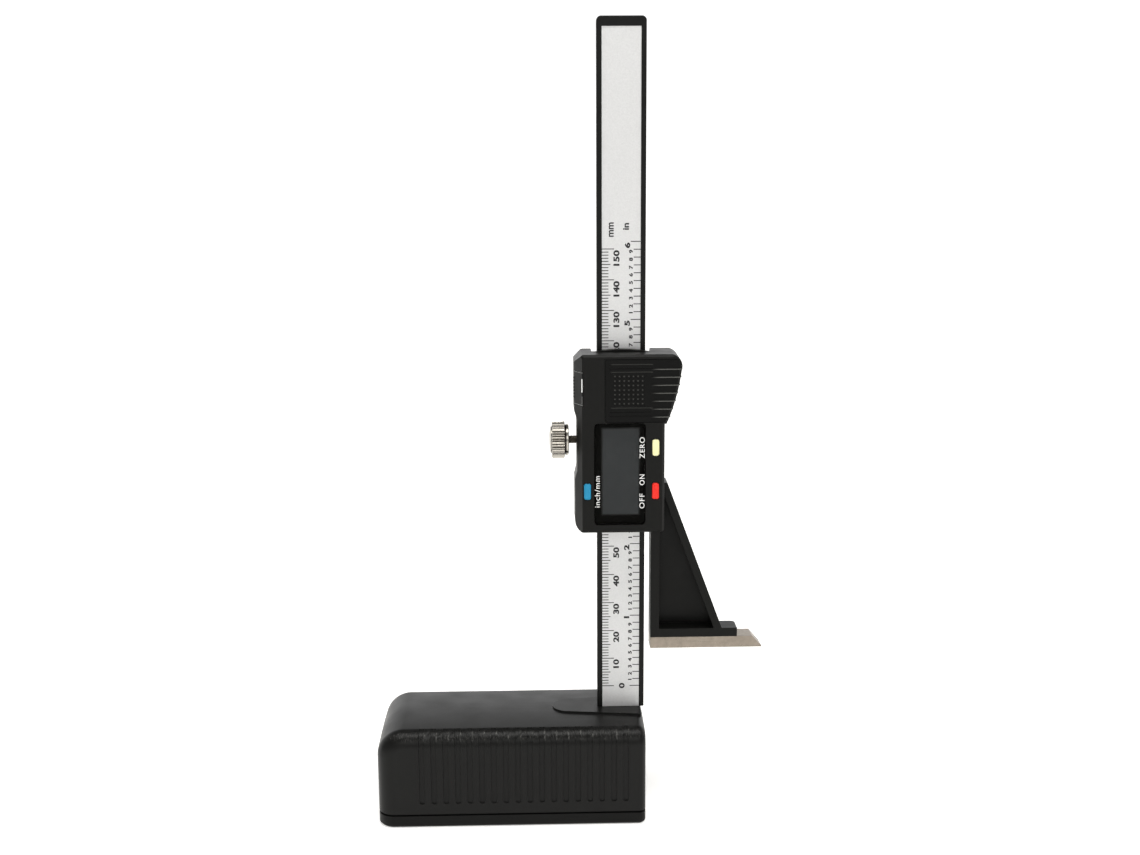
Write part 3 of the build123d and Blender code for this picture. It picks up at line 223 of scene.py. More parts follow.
# The grain turns the shell's black to a soft satin, which greys where it faces a light.
moulded_abs, abs_tree, abs_shader = moulded_plastic("moulded_black_abs", "121211", "191918", 0.34, 0.36,
                                                    0.15, 0.03)
abs_place = node(abs_tree, "ShaderNodeTexCoord").outputs["Object"]
abs_axes = node(abs_tree, "ShaderNodeSeparateXYZ", {0: abs_place})
side = node(abs_tree, "ShaderNodeMath", {0: abs_axes.outputs["Y"]}, operation="ABSOLUTE")
SIDE_FROM, SIDE_TO = 17.2 * MM, 18.4 * MM     # where the shoulder gives way to the long sides, along Y
TOP_FROM, TOP_TO = 30.0 * MM, 31.3 * MM       # and to the top, along Z
on_side = node(abs_tree, "ShaderNodeMapRange", {"Value": side.outputs[0], "From Min": SIDE_FROM,
                                                "From Max": SIDE_TO}, interpolation_type="SMOOTHSTEP")
on_top = node(abs_tree, "ShaderNodeMapRange", {"Value": abs_axes.outputs["Z"], "From Min": TOP_FROM,
                                               "From Max": TOP_TO}, interpolation_type="SMOOTHSTEP")
shoulder = where_all(abs_tree, on_side.outputs[0], on_top.outputs[0])

# Short grey specks across the shoulder, about 0.3 mm wide and 0.9 mm long: partly scuffs from handling,
# partly painted highlight, since they are laid only in the band where the shoulder catches the overhead
# light.
speck_scale = (1 / (0.32 * MM), 1 / (0.9 * MM), 1 / (0.9 * MM))
speck_place = node(abs_tree, "ShaderNodeMapping", {"Vector": abs_place, "Scale": speck_scale})
specks = node(abs_tree, "ShaderNodeTexNoise", {"Vector": speck_place.outputs[0], "Scale": 1.0,
                                               "Detail": 2.0})
scuffs_and_glints = node(abs_tree, "ShaderNodeMapRange", {"Value": specks.outputs["Fac"], "From Min": 0.5,
                                               "From Max": 0.75, "To Max": 0.2})

# Each groove's right-hand edge carries a short bright line where it crosses the shoulder: a painted
# highlight, where that wall catches the light.
GROOVE_FIRST = -30.0
GROOVE_PITCH = 4.02
GROOVE_EDGE = 0.95          # from a groove's middle to its right-hand edge
GROOVED_MIDDLE, GROOVED_HALF = 4.2, 35.6
groove_edges = stripes(abs_tree, abs_axes.outputs["X"], GROOVE_FIRST + GROOVE_EDGE, GROOVE_PITCH, 0.1, 0.28)
grooved = stripe(abs_tree, abs_axes.outputs["X"], GROOVED_MIDDLE, GROOVED_HALF, 0.4)
patchy = node(abs_tree, "ShaderNodeTexNoise", {"Vector": abs_place, "Scale": 1 / (1.1 * MM), "Detail": 2.0})
present = node(abs_tree, "ShaderNodeMapRange", {"Value": patchy.outputs["Fac"], "From Min": 0.4,
                                                "From Max": 0.65, "To Max": 0.5})
groove_edge_highlights = where_all(abs_tree, groove_edges, grooved, present.outputs[0])
wear(abs_tree, abs_shader, where_all(abs_tree, where_any(abs_tree, scuffs_and_glints.outputs[0], groove_edge_highlights), shoulder),
     "8a8986")
dress("base_housing", moulded_abs)

# ---- Bottom plate, its screws and the ballast --------------------------------------------
# A plainer, duller black ABS plate closes the foot, with a thin shadow groove above it. Four zinc
# plated screws hold it from below, and a cast block inside keeps the gauge from tipping.
plate_abs = moulded_plastic("moulded_plate_abs", "0d0d0c", "131312", 0.42, 0.5, 0.12)[0]
dress("base_plate", plate_abs)


def metal(name, colour, dark, roughness, cloud_mm, ground=False):
    """Metal with uneven plating, casting or grinding: tone and gloss drift in clouds, over a fine relief.
    Grinding leaves lines along X, drawn 0.25 mm apart, coarser than real ones, so that they show."""
    finish, tree, shader = new_finish(name)
    place = node(tree, "ShaderNodeTexCoord").outputs["Object"]
    cloud = node(tree, "ShaderNodeTexNoise", {"Vector": place, "Scale": 1 / (cloud_mm * MM), "Detail": 5.0,
                                              "Roughness": 0.6})
    tone = node(tree, "ShaderNodeMix", {0: cloud.outputs["Fac"], MIX_FIRST: linear(dark),
                                        MIX_SECOND: linear(colour)}, data_type="RGBA")
    gloss = node(tree, "ShaderNodeMapRange", {"Value": cloud.outputs["Fac"], "To Min": roughness + 0.07,
                                              "To Max": roughness - 0.07})
    stretch = (1 / (8 * MM), 1 / (0.25 * MM), 1 / (0.25 * MM)) if ground else (1 / (0.3 * MM),) * 3
    lines_place = node(tree, "ShaderNodeMapping", {"Vector": place, "Scale": stretch})
    lines = node(tree, "ShaderNodeTexNoise", {"Vector": lines_place.outputs[0], "Scale": 1.0, "Detail": 2.0})
    relief = node(tree, "ShaderNodeBump", {"Height": lines.outputs["Fac"], "Strength": 0.25,
                                           "Distance": 0.01 * MM})
    tree.links.new(tone.outputs[MIX_COLOUR], shader.inputs["Base Color"])
    tree.links.new(gloss.outputs["Result"], shader.inputs["Roughness"])
    tree.links.new(relief.outputs["Normal"], shader.inputs["Normal"])
    shader.inputs["Metallic"].default_value = 1.0
    return finish, tree, shader


# Bright zinc gives a pale, faintly mottled shine. The casting is dull and dark.
zinc_plated_steel = metal("zinc_plated_steel", "c9cac8", "9fa1a2", 0.32, 1.5)[0]
dress("base_screws", zinc_plated_steel, 0.1)
cast_iron = metal("cast_iron", "5a5856", "3a3836", 0.62, 1.2)[0]
dress("ballast_block", cast_iron, 0.3)

# ---- Beam and its clamp ------------------------------------------------------------------
# The upright is a flat bar of black glass-filled nylon, moulded with a recess for the scale.
# Its tang is clamped inside the foot by a zinc plated plate and two screws.
# Filled nylon is an even black, with a little more sheen than the foot's plate.
filled_nylon = moulded_plastic("glass_filled_nylon", "0d0d0c", "131312", 0.38, 0.6, 0.16)[0]
dress("beam", filled_nylon, 0.1)
dress("beam_clamp", zinc_plated_steel, 0.15)
dress("clamp_screws", zinc_plated_steel, 0.1)

# ---- Printed scale -----------------------------------------------------------------------
# A silver polyester film on the sensing strip, screen printed in black: millimetres on its
# left edge, tenths of an inch on its right edge, figures turned to be read from the right.
film, film_tree, film_shader = new_finish("silver_polyester_film")
film_place = node(film_tree, "ShaderNodeTexCoord").outputs["Object"]
# Metal flakes in the film, drawn coarser than they are, give it a soft silver satin.
flake = node(film_tree, "ShaderNodeTexNoise", {"Vector": film_place, "Scale": 1 / (0.4 * MM), "Detail": 3.0})
film_tone = node(film_tree, "ShaderNodeMix", {0: flake.outputs["Fac"], MIX_FIRST: linear("cecece"),
                                              MIX_SECOND: linear("e3e3e3")}, data_type="RGBA")
film_gloss = node(film_tree, "ShaderNodeMapRange", {"Value": flake.outputs["Fac"], "To Min": 0.3,
                                                    "To Max": 0.45})
film_tree.links.new(film_tone.outputs[MIX_COLOUR], film_shader.inputs["Base Color"])
film_tree.links.new(film_gloss.outputs["Result"], film_shader.inputs["Roughness"])
film_shader.inputs["Metallic"].default_value = 0.25
dress("scale_label", film, 0)
board_laminate = moulded_plastic("glass_epoxy_board", "1d4a2c", "245a36", 0.4, 0.8, 0.5)[0]
dress("scale_strip", board_laminate, 0)


def screen_ink(name, thin, full, roughness):
    """Screen printed ink: a flat tone, a little uneven in cover as the mesh leaves it. The mesh's traces
    are drawn coarser than real ones, so that they show."""
    finish, tree, shader = new_finish(name)
    place = node(tree, "ShaderNodeTexCoord").outputs["Object"]
    cover = node(tree, "ShaderNodeTexNoise", {"Vector": place, "Scale": 1 / (0.3 * MM), "Detail": 2.0})
    tone = node(tree, "ShaderNodeMix", {0: cover.outputs["Fac"], MIX_FIRST: linear(thin),
                                        MIX_SECOND: linear(full)}, data_type="RGBA")
    tree.links.new(tone.outputs[MIX_COLOUR], shader.inputs["Base Color"])
    shader.inputs["Roughness"].default_value = roughness
    return finish


black_ink = screen_ink("black_screen_ink", "0a0a0b", "1a1a1d", 0.5)
INK = 0.02 * MM             # thickness of a printed layer
label_low, label_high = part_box("scale_label")
ink_face = label_low.y - INK
ZERO = 42.0 * MM            # height of the scale's zero above the table
INCH = 25.4 * MM
prints = bmesh.new()


def add_bar(form, x0, x1, y0, y1, z0, z1):
    """Adds a thin box between two corners to a mesh."""
    corners = [form.verts.new((x, y, z)) for x in (x0, x1) for y in (y0, y1) for z in (z0, z1)]
    for a, b, c, d in ((0, 1, 3, 2), (4, 6, 7, 5), (0, 4, 5, 1), (2, 3, 7, 6), (0, 2, 6, 4), (1, 5, 7, 3)):
        form.faces.new([corners[i] for i in (a, b, c, d)])


def add_words(form, text, height, x, z, front, anchor="start", wide=1.0, weight=0.0, gap=1.0,
              length=None):
    """Adds lettering that reads upwards. x is its foot line, z its start, middle or end, in metres.
    A length sets how far it runs, in place of the width factor."""
    curve = bpy.data.curves.new("lettering", "FONT")
    curve.body = text
    curve.resolution_u = 4
    curve.offset = weight
    curve.space_character = gap
    sample = bpy.data.objects.new("lettering", curve)
    bpy.context.scene.collection.objects.link(sample)
    shape = bpy.data.meshes.new_from_object(sample.evaluated_get(bpy.context.evaluated_depsgraph_get()))
    bpy.data.objects.remove(sample)
    bpy.data.curves.remove(curve)
    across = [v.co.x for v in shape.vertices]
    upright = [v.co.y for v in shape.vertices]
    left_end, foot, run = min(across), min(upright), max(across) - min(across)
    scale = height / (max(upright) - foot)
    if length:
        wide = length / (run * scale)
    start = z - {"start": 0, "middle": 0.5, "end": 1}[anchor] * run * scale * wide
    for v in shape.vertices:
        v.co = Vector((x - (v.co.y - foot) * scale, front, start + (v.co.x - left_end) * scale * wide))
    letters = bmesh.new()
    letters.from_mesh(shape)
    bpy.data.meshes.remove(shape)
    grown = bmesh.ops.extrude_face_region(letters, geom=letters.faces[:])
    for part in grown["geom"]:
        if isinstance(part, bmesh.types.BMVert):
            part.co.y += INK
    joined = bpy.data.meshes.new("letters")
    bmesh.ops.recalc_face_normals(letters, faces=letters.faces[:])
    letters.to_mesh(joined)
    letters.free()
    form.from_mesh(joined)
    bpy.data.meshes.remove(joined)


def make_piece(name, form, finish, body):
    """Turns a finished mesh into a piece of the object that rides on a body."""
    bmesh.ops.recalc_face_normals(form, faces=form.faces[:])
    mesh = bpy.data.meshes.new(name)
    form.to_mesh(mesh)
    form.free()
    mesh.materials.append(finish)
    piece = bpy.data.objects.new(name, mesh)
    bpy.context.scene.collection.objects.link(piece)
    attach(piece, body)
    return piece


left, right = label_low.x, label_high.x
TICK = 0.28 * MM            # width of a graduation line
TEN_MARK, FIVE_MARK, ONE_MARK = 3.97 * MM, 2.8 * MM, 2.14 * MM
INCH_MARK, TENTH_MARK = 3.2 * MM, 2.23 * MM
for millimetre in range(151):
    mark = TEN_MARK if millimetre % 10 == 0 else FIVE_MARK if millimetre % 5 == 0 else ONE_MARK
    z = ZERO + millimetre * MM
    add_bar(prints, left, left + mark, ink_face, label_low.y, z - TICK / 2, z + TICK / 2)
    if millimetre % 10 == 0 and millimetre:
        add_words(prints, str(millimetre), 2.0 * MM, left + 5.75 * MM, z - 0.4 * MM, ink_face, "end", 1.47,
                  0.038)
for tenth in range(61):
    z = ZERO + tenth * INCH / 10
    whole = tenth % 10 == 0
    mark = INCH_MARK if whole else TENTH_MARK
    add_bar(prints, right - mark, right, ink_face, label_low.y, z - TICK / 2, z + TICK / 2)
    if tenth and whole:
        add_words(prints, str(tenth // 10), 1.8 * MM, right - 3.4 * MM, z - 0.35 * MM, ink_face, "end", 1.6,
                  0.045)
    elif tenth:
        add_words(prints, str(tenth % 10), 1.25 * MM, right - 2.5 * MM, z - 0.12 * MM, ink_face, "end", 1.4,
                  0.04)
add_words(prints, "0", 2.0 * MM, (left + right) / 2 + 1.4 * MM, ZERO, ink_face, "middle", 1.47, 0.038)
add_words(prints, "mm", 1.6 * MM, left + 3.85 * MM, ZERO + 153.9 * MM, ink_face, weight=0.024)
add_words(prints, "in", 1.95 * MM, left + 8.8 * MM, ZERO + 156.1 * MM, ink_face, wide=1.2, weight=0.03)
make_piece("scale_print", prints, black_ink, "base")

# ---- Slider case -------------------------------------------------------------------------
# Frame with its ribbed arm, display housing and rear cover, all satin black moulded ABS. Four
# black screws close them from the back, and a brass gib takes up the play on the beam.
satin_abs = moulded_plastic("satin_black_abs", "0f0f0e", "151513", 0.4, 0.38, 0.13)[0]
for name in ("slider_frame", "front_housing", "back_cover"):
    dress(name, satin_abs)
# Black oxide leaves the screws a dark, oily sheen. Sheet brass has a soft yellow shine.
black_oxide_steel = metal("black_oxide_steel", "2c2b2a", "161616", 0.36, 1.0)[0]
dress("case_screws", black_oxide_steel, 0.08)
sheet_brass = metal("sheet_brass", "c8a45a", "a8843e", 0.34, 2.0)[0]
dress("gib_strip", sheet_brass, 0.05)

# ---- Battery and its sliding cover -------------------------------------------------------
# The cover is the same ABS, with a field of small pits and a notched thumb grip at its end. The ribs'
# crests and the pits' rims are painted grey as highlights. Behind it lie the cell and its springs.
cover_abs, cover_tree, cover_shader = moulded_plastic("highlit_black_abs", "0a0a09", "0e0e0d", 0.42, 0.38,
                                                      0.1)
cover_place = node(cover_tree, "ShaderNodeTexCoord").outputs["Object"]
cover_axes = node(cover_tree, "ShaderNodeSeparateXYZ", {0: cover_place})
cover_x, cover_z = cover_axes.outputs["X"], cover_axes.outputs["Z"]
cell_low, cell_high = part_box("battery_cell")
cell_x, cell_z = (cell_low.x + cell_high.x) / 2 / MM, (cell_low.z + cell_high.z) / 2 / MM
cover_low, cover_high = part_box("battery_cover")

RIB_FIRST, RIB_PITCH, RIBS = cover_low.z / MM + 1.7, 2.62, 7
rib_half_rise = RIB_PITCH * (RIBS - 1) / 2
rib_crests = stripes(cover_tree, cover_z, RIB_FIRST, RIB_PITCH, 0.06, 0.16)
rib_span = stripe(cover_tree, cover_z, RIB_FIRST + rib_half_rise, rib_half_rise + 0.5, 0.1)
rib_reach = stripe(cover_tree, cover_x, cover_high.x / MM, 7.0, 3.5)
rib_highlights = where_all(cover_tree, rib_crests, rib_span, rib_reach, 0.55)

DOT_PITCH = 1.5
DOT_FIELD_HALF = 5.0
dot_columns = stripes(cover_tree, cover_x, cell_x, DOT_PITCH, 0.1, 0.26)
dot_rows = stripes(cover_tree, cover_z, cell_z, DOT_PITCH, 0.1, 0.26)
dot_width = stripe(cover_tree, cover_x, cell_x, DOT_FIELD_HALF, 0.05)
dot_height = stripe(cover_tree, cover_z, cell_z, DOT_FIELD_HALF, 0.05)
dot_highlights = where_all(cover_tree, dot_columns, dot_rows, dot_width, dot_height, 0.4)

# Three fine lines run across the cover, one on each side of the pits and one higher up, painted grey as
# highlights.
fine_lines = where_any(cover_tree, *[stripe(cover_tree, cover_z, cell_z + rise, 0.1, 0.1)
                                     for rise in (5.9, -5.9, 8.4)])
line_highlights = where_all(cover_tree, fine_lines, stripe(cover_tree, cover_x, cell_x + 1.0, 6.5, 0.5), 0.2)
wear(cover_tree, cover_shader, where_any(cover_tree, rib_highlights, dot_highlights, line_highlights), "7c7c78")
dress("battery_cover", cover_abs, 0.06, join_flats=False)    # joined flats blacken its field of pits
# Nickel gives the cell, its contacts and the snap domes a bright, faintly warm shine.
nickel_spring = metal("nickel_plated_spring", "cfcac0", "a8a39a", 0.26, 1.5)[0]
for name in ("battery_cell", "negative_contact", "positive_contact", "snap_domes"):
    dress(name, nickel_spring, 0.05)

# ---- Data port ---------------------------------------------------------------------------
# A small ABS cover with finger teeth slides off the left bevel. Its hinge-thin front edge carries a painted
# white glint, with a fainter one below, and its ends faint painted highlights. Gilt contact fingers lie
# behind it.
port_abs, port_tree, port_shader = moulded_plastic("glinting_black_abs", "0f0f0e", "151513", 0.4, 0.38, 0.13)
port_place = node(port_tree, "ShaderNodeTexCoord").outputs["Object"]
port_axes = node(port_tree, "ShaderNodeSeparateXYZ", {0: port_place})
port_x, port_y, port_z = (port_axes.outputs[axis] for axis in "XYZ")
port_low, port_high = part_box("port_cover")
EDGE_X, EDGE_Y = 24.4, -11.3            # where the front edge runs, in mm
BRIGHT_GLINT_Z, FAINT_GLINT_Z = 148.7, 143.9  # heights of its two painted glints, in mm
front_edge = stripe(port_tree, port_x, EDGE_X, 0.11, 0.08)
front_face = stripe(port_tree, port_y, EDGE_Y, 0.5, 0.1)
bright_glint = stripe(port_tree, port_z, BRIGHT_GLINT_Z, 2.1, 0.15)
faint_glint = where_all(port_tree, stripe(port_tree, port_z, FAINT_GLINT_Z, 1.1, 0.4), 0.1)
painted_glints = where_all(port_tree, front_edge, where_any(port_tree, bright_glint, faint_glint), front_face)
lit_ends = where_any(port_tree, stripe(port_tree, port_z, port_low.z / MM, 0.16, 0.12),
                      stripe(port_tree, port_z, port_high.z / MM, 0.16, 0.12))
wear(port_tree, port_shader, where_any(port_tree, painted_glints, where_all(port_tree, lit_ends, 0.2)), "fbfbfa")
dress("port_cover", port_abs, 0.08)
dress("port_contacts", sheet_brass, 0)

# ---- Electronics -------------------------------------------------------------------------
# A green glass-epoxy board carries the measuring chip under a blob of black resin. Strips of
# layered conductive rubber join it to the display.
dress("circuit_board", board_laminate, 0)
dress("driver_chip", moulded_plastic("black_resin", "0c0c0c", "141414", 0.3, 1.5, 0.5)[0], 0.1)
dress("contact_strips", moulded_plastic("layered_rubber", "3a3a3a", "505050", 0.7, 0.3, 0.3)[0], 0)

# ---- Display -----------------------------------------------------------------------------
# Liquid crystal glass, blank and grey behind its polariser, under a clear acrylic window. The
# window's border is printed black on its back, and the buttons' words white on its face.
lens_low, lens_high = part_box("display_lens")
BORDER_LEFT, BORDER_RIGHT, BORDER_BOTTOM, BORDER_TOP = 2.35 * MM, 1.8 * MM, 3.05 * MM, 1.55 * MM
active_left, active_right = lens_low.x + BORDER_LEFT, lens_high.x - BORDER_RIGHT
active_low, active_high = lens_low.z + BORDER_BOTTOM, lens_high.z - BORDER_TOP

crystal, crystal_tree, crystal_shader = new_finish("liquid_crystal_glass")
crystal_place = node(crystal_tree, "ShaderNodeTexCoord").outputs["Object"]
crystal_axes = node(crystal_tree, "ShaderNodeSeparateXYZ", {0: crystal_place})
RIM_SHADE = 0.7 * MM             # the pane darkens softly into its border: painted shade from the border's edge
edges = []
for axis, low, high in (("X", active_left, active_right), ("Z", active_low, active_high)):
    for edge, inside in ((low, low + RIM_SHADE), (high, high - RIM_SHADE)):
        fade = node(crystal_tree, "ShaderNodeMapRange", {"Value": crystal_axes.outputs[axis],
                                                         "From Min": edge, "From Max": inside},
                    interpolation_type="SMOOTHSTEP")
        edges.append(fade.outputs[0])
pane = where_all(crystal_tree, *edges)
haze = node(crystal_tree, "ShaderNodeTexNoise", {"Vector": crystal_place, "Scale": 1 / (6 * MM),
                                                 "Detail": 3.0})
pane_tone = node(crystal_tree, "ShaderNodeMix", {0: haze.outputs["Fac"], MIX_FIRST: linear("333536"),
                                                 MIX_SECOND: linear("393b3c")}, data_type="RGBA")
crystal_tone = node(crystal_tree, "ShaderNodeMix", {0: pane, MIX_FIRST: linear("121211"),
                                                    MIX_SECOND: pane_tone.outputs[MIX_COLOUR]},
                    data_type="RGBA")
crystal_tree.links.new(crystal_tone.outputs[MIX_COLOUR], crystal_shader.inputs["Base Color"])
crystal_shader.inputs["Roughness"].default_value = 0.3
crystal_shader.inputs["Specular IOR Level"].default_value = 0.1
dress("lcd_module", crystal, 0)


def add_sheet(form, outline, front, back):
    """Adds a thin closed sheet with an outline in X and Z."""
    near = [form.verts.new((x, front, z)) for x, z in outline]
    far = [form.verts.new((x, back, z)) for x, z in outline]
    form.faces.new(near)
    form.faces.new(far[::-1])
    for i in range(len(outline)):
        j = (i + 1) % len(outline)
        form.faces.new((near[i], far[i], far[j], near[j]))


def rounded_loop(x0, x1, z0, z1, radius, steps=6):
    """Points round a rounded rectangle in X and Z, anticlockwise from the front."""
    points = []
    for cx, cz, turn in ((x1 - radius, z1 - radius, 0), (x0 + radius, z1 - radius, 90),
                         (x0 + radius, z0 + radius, 180), (x1 - radius, z0 + radius, 270)):
        for step in range(steps + 1):
            angle = math.radians(turn + 90 * step / steps)
            points.append((cx + radius * math.cos(angle), cz + radius * math.sin(angle)))
    return points


glass_back = lens_high.y
INSET = 0.05 * MM
CORNER = 1.2 * MM
window = (lens_low.x + INSET, lens_high.x - INSET, lens_low.z + INSET, lens_high.z - INSET)
polariser = bmesh.new()
add_sheet(polariser, rounded_loop(*window, CORNER), glass_back - 2 * INK, glass_back - INK)
make_piece("polariser", polariser, crystal, "slider")

# The acrylic's face is coated against reflections, so nothing mirrors in it, and light passes
# straight through to the display.
acrylic, acrylic_tree, acrylic_shader = new_finish("clear_acrylic")
acrylic_place = node(acrylic_tree, "ShaderNodeTexCoord").outputs["Object"]
smear = node(acrylic_tree, "ShaderNodeTexNoise", {"Vector": acrylic_place, "Scale": 1 / (5 * MM),
                                                  "Detail": 4.0})
acrylic_gloss = node(acrylic_tree, "ShaderNodeMapRange", {"Value": smear.outputs["Fac"], "To Min": 0.006,
                                                          "To Max": 0.014})
acrylic_tree.links.new(acrylic_gloss.outputs[0], acrylic_shader.inputs["Roughness"])
acrylic_shader.inputs["Transmission Weight"].default_value = 1.0
acrylic_shader.inputs["IOR"].default_value = 1.0
see_through = node(acrylic_tree, "ShaderNodeBsdfTransparent")
direct_view = node(acrylic_tree, "ShaderNodeLightPath").outputs["Is Camera Ray"]
window_look = node(acrylic_tree, "ShaderNodeMixShader", {0: direct_view, 1: see_through.outputs[0],
                                                        2: acrylic_shader.outputs["BSDF"]})
acrylic_out = next(n for n in acrylic_tree.nodes if n.type == "OUTPUT_MATERIAL")
acrylic_tree.links.new(window_look.outputs[0], acrylic_out.inputs["Surface"])
dress("display_lens", acrylic, 0.1)

# Seen through the window, the border's ink is a deep, even black.
border_ink = moulded_plastic("gloss_border_ink", "121211", "131312", 0.12, 0.4, 0.0, 0.002)[0]
border = bmesh.new()
LAP = 0.1 * MM              # the printed border's opening is larger than the pane by this much
OPENING_CORNER = 0.4 * MM
opening = (active_left - LAP, active_right + LAP, active_low - LAP, active_high + LAP)


def add_ring(form, outer, inner, front, back):
    """Adds a flat frame between two loops of equal length, as a thin closed solid."""
    loops = [[form.verts.new((x, y, z)) for x, z in points]
             for points, y in ((outer, front), (inner, front), (inner, back), (outer, back))]
    count = len(outer)
    for a, b in ((0, 1), (1, 2), (2, 3), (3, 0)):
        for i in range(count):
            j = (i + 1) % count
            form.faces.new((loops[a][i], loops[a][j], loops[b][j], loops[b][i]))


add_ring(border, rounded_loop(*window, CORNER), rounded_loop(*opening, OPENING_CORNER), glass_back - 4 * INK,
         glass_back - 3 * INK)
make_piece("window_border", border, border_ink, "slider")

white_ink = screen_ink("white_screen_ink", "eeeeec", "fefefc", 0.45)
legend = bmesh.new()
legend_front = lens_low.y - INK
beam_low, beam_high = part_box("beam")
middle_x = (beam_low.x + beam_high.x) / 2
case_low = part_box("front_housing")[0].z
# Each word with its foot line from the beam's middle, its start above the case's foot, its height
# and its run, in mm.
LEGEND = (("ZERO", 7.25, 25.2, 1.72, 7.1), ("ON", 7.25, 16.2, 1.72, 3.6), ("OFF", 7.25, 8.3, 1.72, 5.0),
          ("inch/mm", -7.45, 8.8, 1.75, 10.6))
for text, foot, start, height, length in LEGEND:
    add_words(legend, text, height * MM, middle_x + foot * MM, case_low + start * MM, legend_front,
              weight=0.008, gap=1.14, length=length * MM)
make_piece("window_legend", legend, white_ink, "slider")

# ---- Buttons -----------------------------------------------------------------------------
# Three small keys moulded in coloured silicone rubber, smooth, flat and bevelled at their edges.
# Each presses a snap dome on the board behind it.
for name, finish_name, colour, light in (("button_unit", "blue_silicone_key", "1787b2", "2092bd"),
                                         ("button_zero", "yellow_silicone_key", "fbf7b8", "fffbc4"),
                                         ("button_power", "red_silicone_key", "ee2216", "fa3022")):
    dress(name, moulded_plastic(finish_name, colour, light, 0.4, 0.6, 0.3, 0.004)[0], 0.1)

# ---- Lock screw --------------------------------------------------------------------------
# A black steel M3 screw with a knurled thumb nut, nickel plated brass, and a brass pad at its tip
# that presses the gib. The nut's outer end is turned to a low dome with a narrow groove behind it.
knob_low, knob_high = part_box("lock_knob")
shaft_low, shaft_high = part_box("lock_shaft")
knob_z = (knob_low.z + knob_high.z) / 2
knob_radius = (knob_high.z - knob_low.z) / 2
TEETH = 42
TOOTH_STEPS = 8             # points round one tooth
TOOTH = 0.4 * MM

# Nickel over brass is bright and slightly warm, and dulls in broad drifts. The roots of the knurl and the
# two grooves beside it are painted dark as shade.
nickel_plate, plate_tree, plate_shader = metal("nickel_plated_brass", "bfbab2", "aaa59c", 0.22, 4.0)
plate_place = node(plate_tree, "ShaderNodeTexCoord").outputs["Object"]
from_axis = node(plate_tree, "ShaderNodeVectorMath", {0: plate_place, 1: (0.0, 0.0, knob_z)},
                 operation="SUBTRACT")
off_axis = node(plate_tree, "ShaderNodeVectorMath", {0: from_axis.outputs[0], 1: (0.0, 1.0, 1.0)},
                operation="MULTIPLY")
radius_here = node(plate_tree, "ShaderNodeVectorMath", {0: off_axis.outputs[0]}, operation="LENGTH")
along = node(plate_tree, "ShaderNodeSeparateXYZ", {0: plate_place}).outputs["X"]
root = node(plate_tree, "ShaderNodeMapRange", {"Value": radius_here.outputs["Value"],
                                               "From Min": knob_radius - 0.1 * MM,
                                               "From Max": knob_radius - 0.85 * TOOTH, "To Max": 0.6})
past_dome = node(plate_tree, "ShaderNodeMapRange", {"Value": along, "From Min": knob_low.x + 0.78 * MM,
                                                    "From Max": knob_low.x + 1.1 * MM})
before_flange = node(plate_tree, "ShaderNodeMapRange", {"Value": along, "From Min": knob_low.x + 5.8 * MM,
                                                        "From Max": knob_low.x + 5.66 * MM})
DOME_GROOVE, FLANGE_GROOVE = 0.72, 5.42     # their middles from the nut's outer end, in mm
root_shade = where_all(plate_tree, root.outputs[0], past_dome.outputs[0], before_flange.outputs[0])
dome_groove = stripe(plate_tree, along, knob_low.x / MM + DOME_GROOVE, 0.12, 0.04)
flange_groove = stripe(plate_tree, along, knob_low.x / MM + FLANGE_GROOVE, 0.22, 0.06)
groove_shade = where_any(plate_tree, flange_groove, where_all(plate_tree, dome_groove, 0.4))
wear(plate_tree, plate_shader,
     where_any(plate_tree, root_shade, where_all(plate_tree, groove_shade, 0.96)), "1d1a17")


def ring_at(form, x, radius_of, count):
    """Adds a ring of points round the lock screw's axis."""
    ring = []
    for i in range(count):
        angle = 2 * math.pi * i / count
        radius = radius_of(angle)
        ring.append(form.verts.new((x, radius * math.sin(angle), knob_z + radius * math.cos(angle))))
    return ring


def join_rings(form, rings):
    """Bridges rings in order and caps both ends."""
    for a, b in zip(rings, rings[1:]):
        for i in range(len(a)):
            j = (i + 1) % len(a)
            form.faces.new((a[i], a[j], b[j], b[i]))
    form.faces.new(rings[0][::-1])
    form.faces.new(rings[-1])


def knurled(limit):
    """Radius of the straight knurl at an angle, cut down to the turned profile's limit."""
    def radius_of(angle):
        wave = abs((angle * TEETH / (2 * math.pi)) % 1 - 0.5) * 2
        return min(limit, knob_radius - TOOTH * max(0.0, (wave - 0.25) / 0.75))
    return radius_of


# The turned profile: how far from the outer end, how large the radius, both in mm, and whether the
# knurl is cut there.
TURNED = ((0.0, 1.6, False), (0.1, 2.9, False), (0.28, 3.9, False), (0.46, 4.6, False), (0.56, 4.9, False),
          (0.6, 4.5, False), (0.84, 4.5, False), (0.86, 5.4, True), (0.9, 5.8, True), (1.0, 6.08, True),
          (1.1, 6.2, True), (5.0, 6.2, True), (5.12, 6.08, True), (5.18, 5.8, True), (5.2, 5.2, True),
          (5.22, 5.1, False), (5.64, 5.1, False), (5.66, 5.2, False), (5.72, 5.28, False),
          (6.3, 5.28, False), (6.42, 5.1, False), (6.5, 4.8, False), (6.5, 1.4, False))
nut = bmesh.new()
rings = [ring_at(nut, knob_low.x + x * MM, knurled(r * MM) if toothed else (lambda angle, r=r: r * MM),
                 TEETH * TOOTH_STEPS) for x, r, toothed in TURNED]
join_rings(nut, rings)
thumb_nut = make_piece("thumb_nut", nut, nickel_plate, "lock_screw")
smooth(thumb_nut)
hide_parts("lock_knob")

screw = bmesh.new()
THREAD_PITCH = 0.5 * MM
THREAD_DEPTH = 0.16 * MM
shaft_length = shaft_high.x - shaft_low.x
shaft_radius = (shaft_high.z - shaft_low.z) / 2
ROUND, PER_TURN = 48, 8     # points round the thread and rings to each of its turns
slices = int(shaft_length / THREAD_PITCH * PER_TURN)


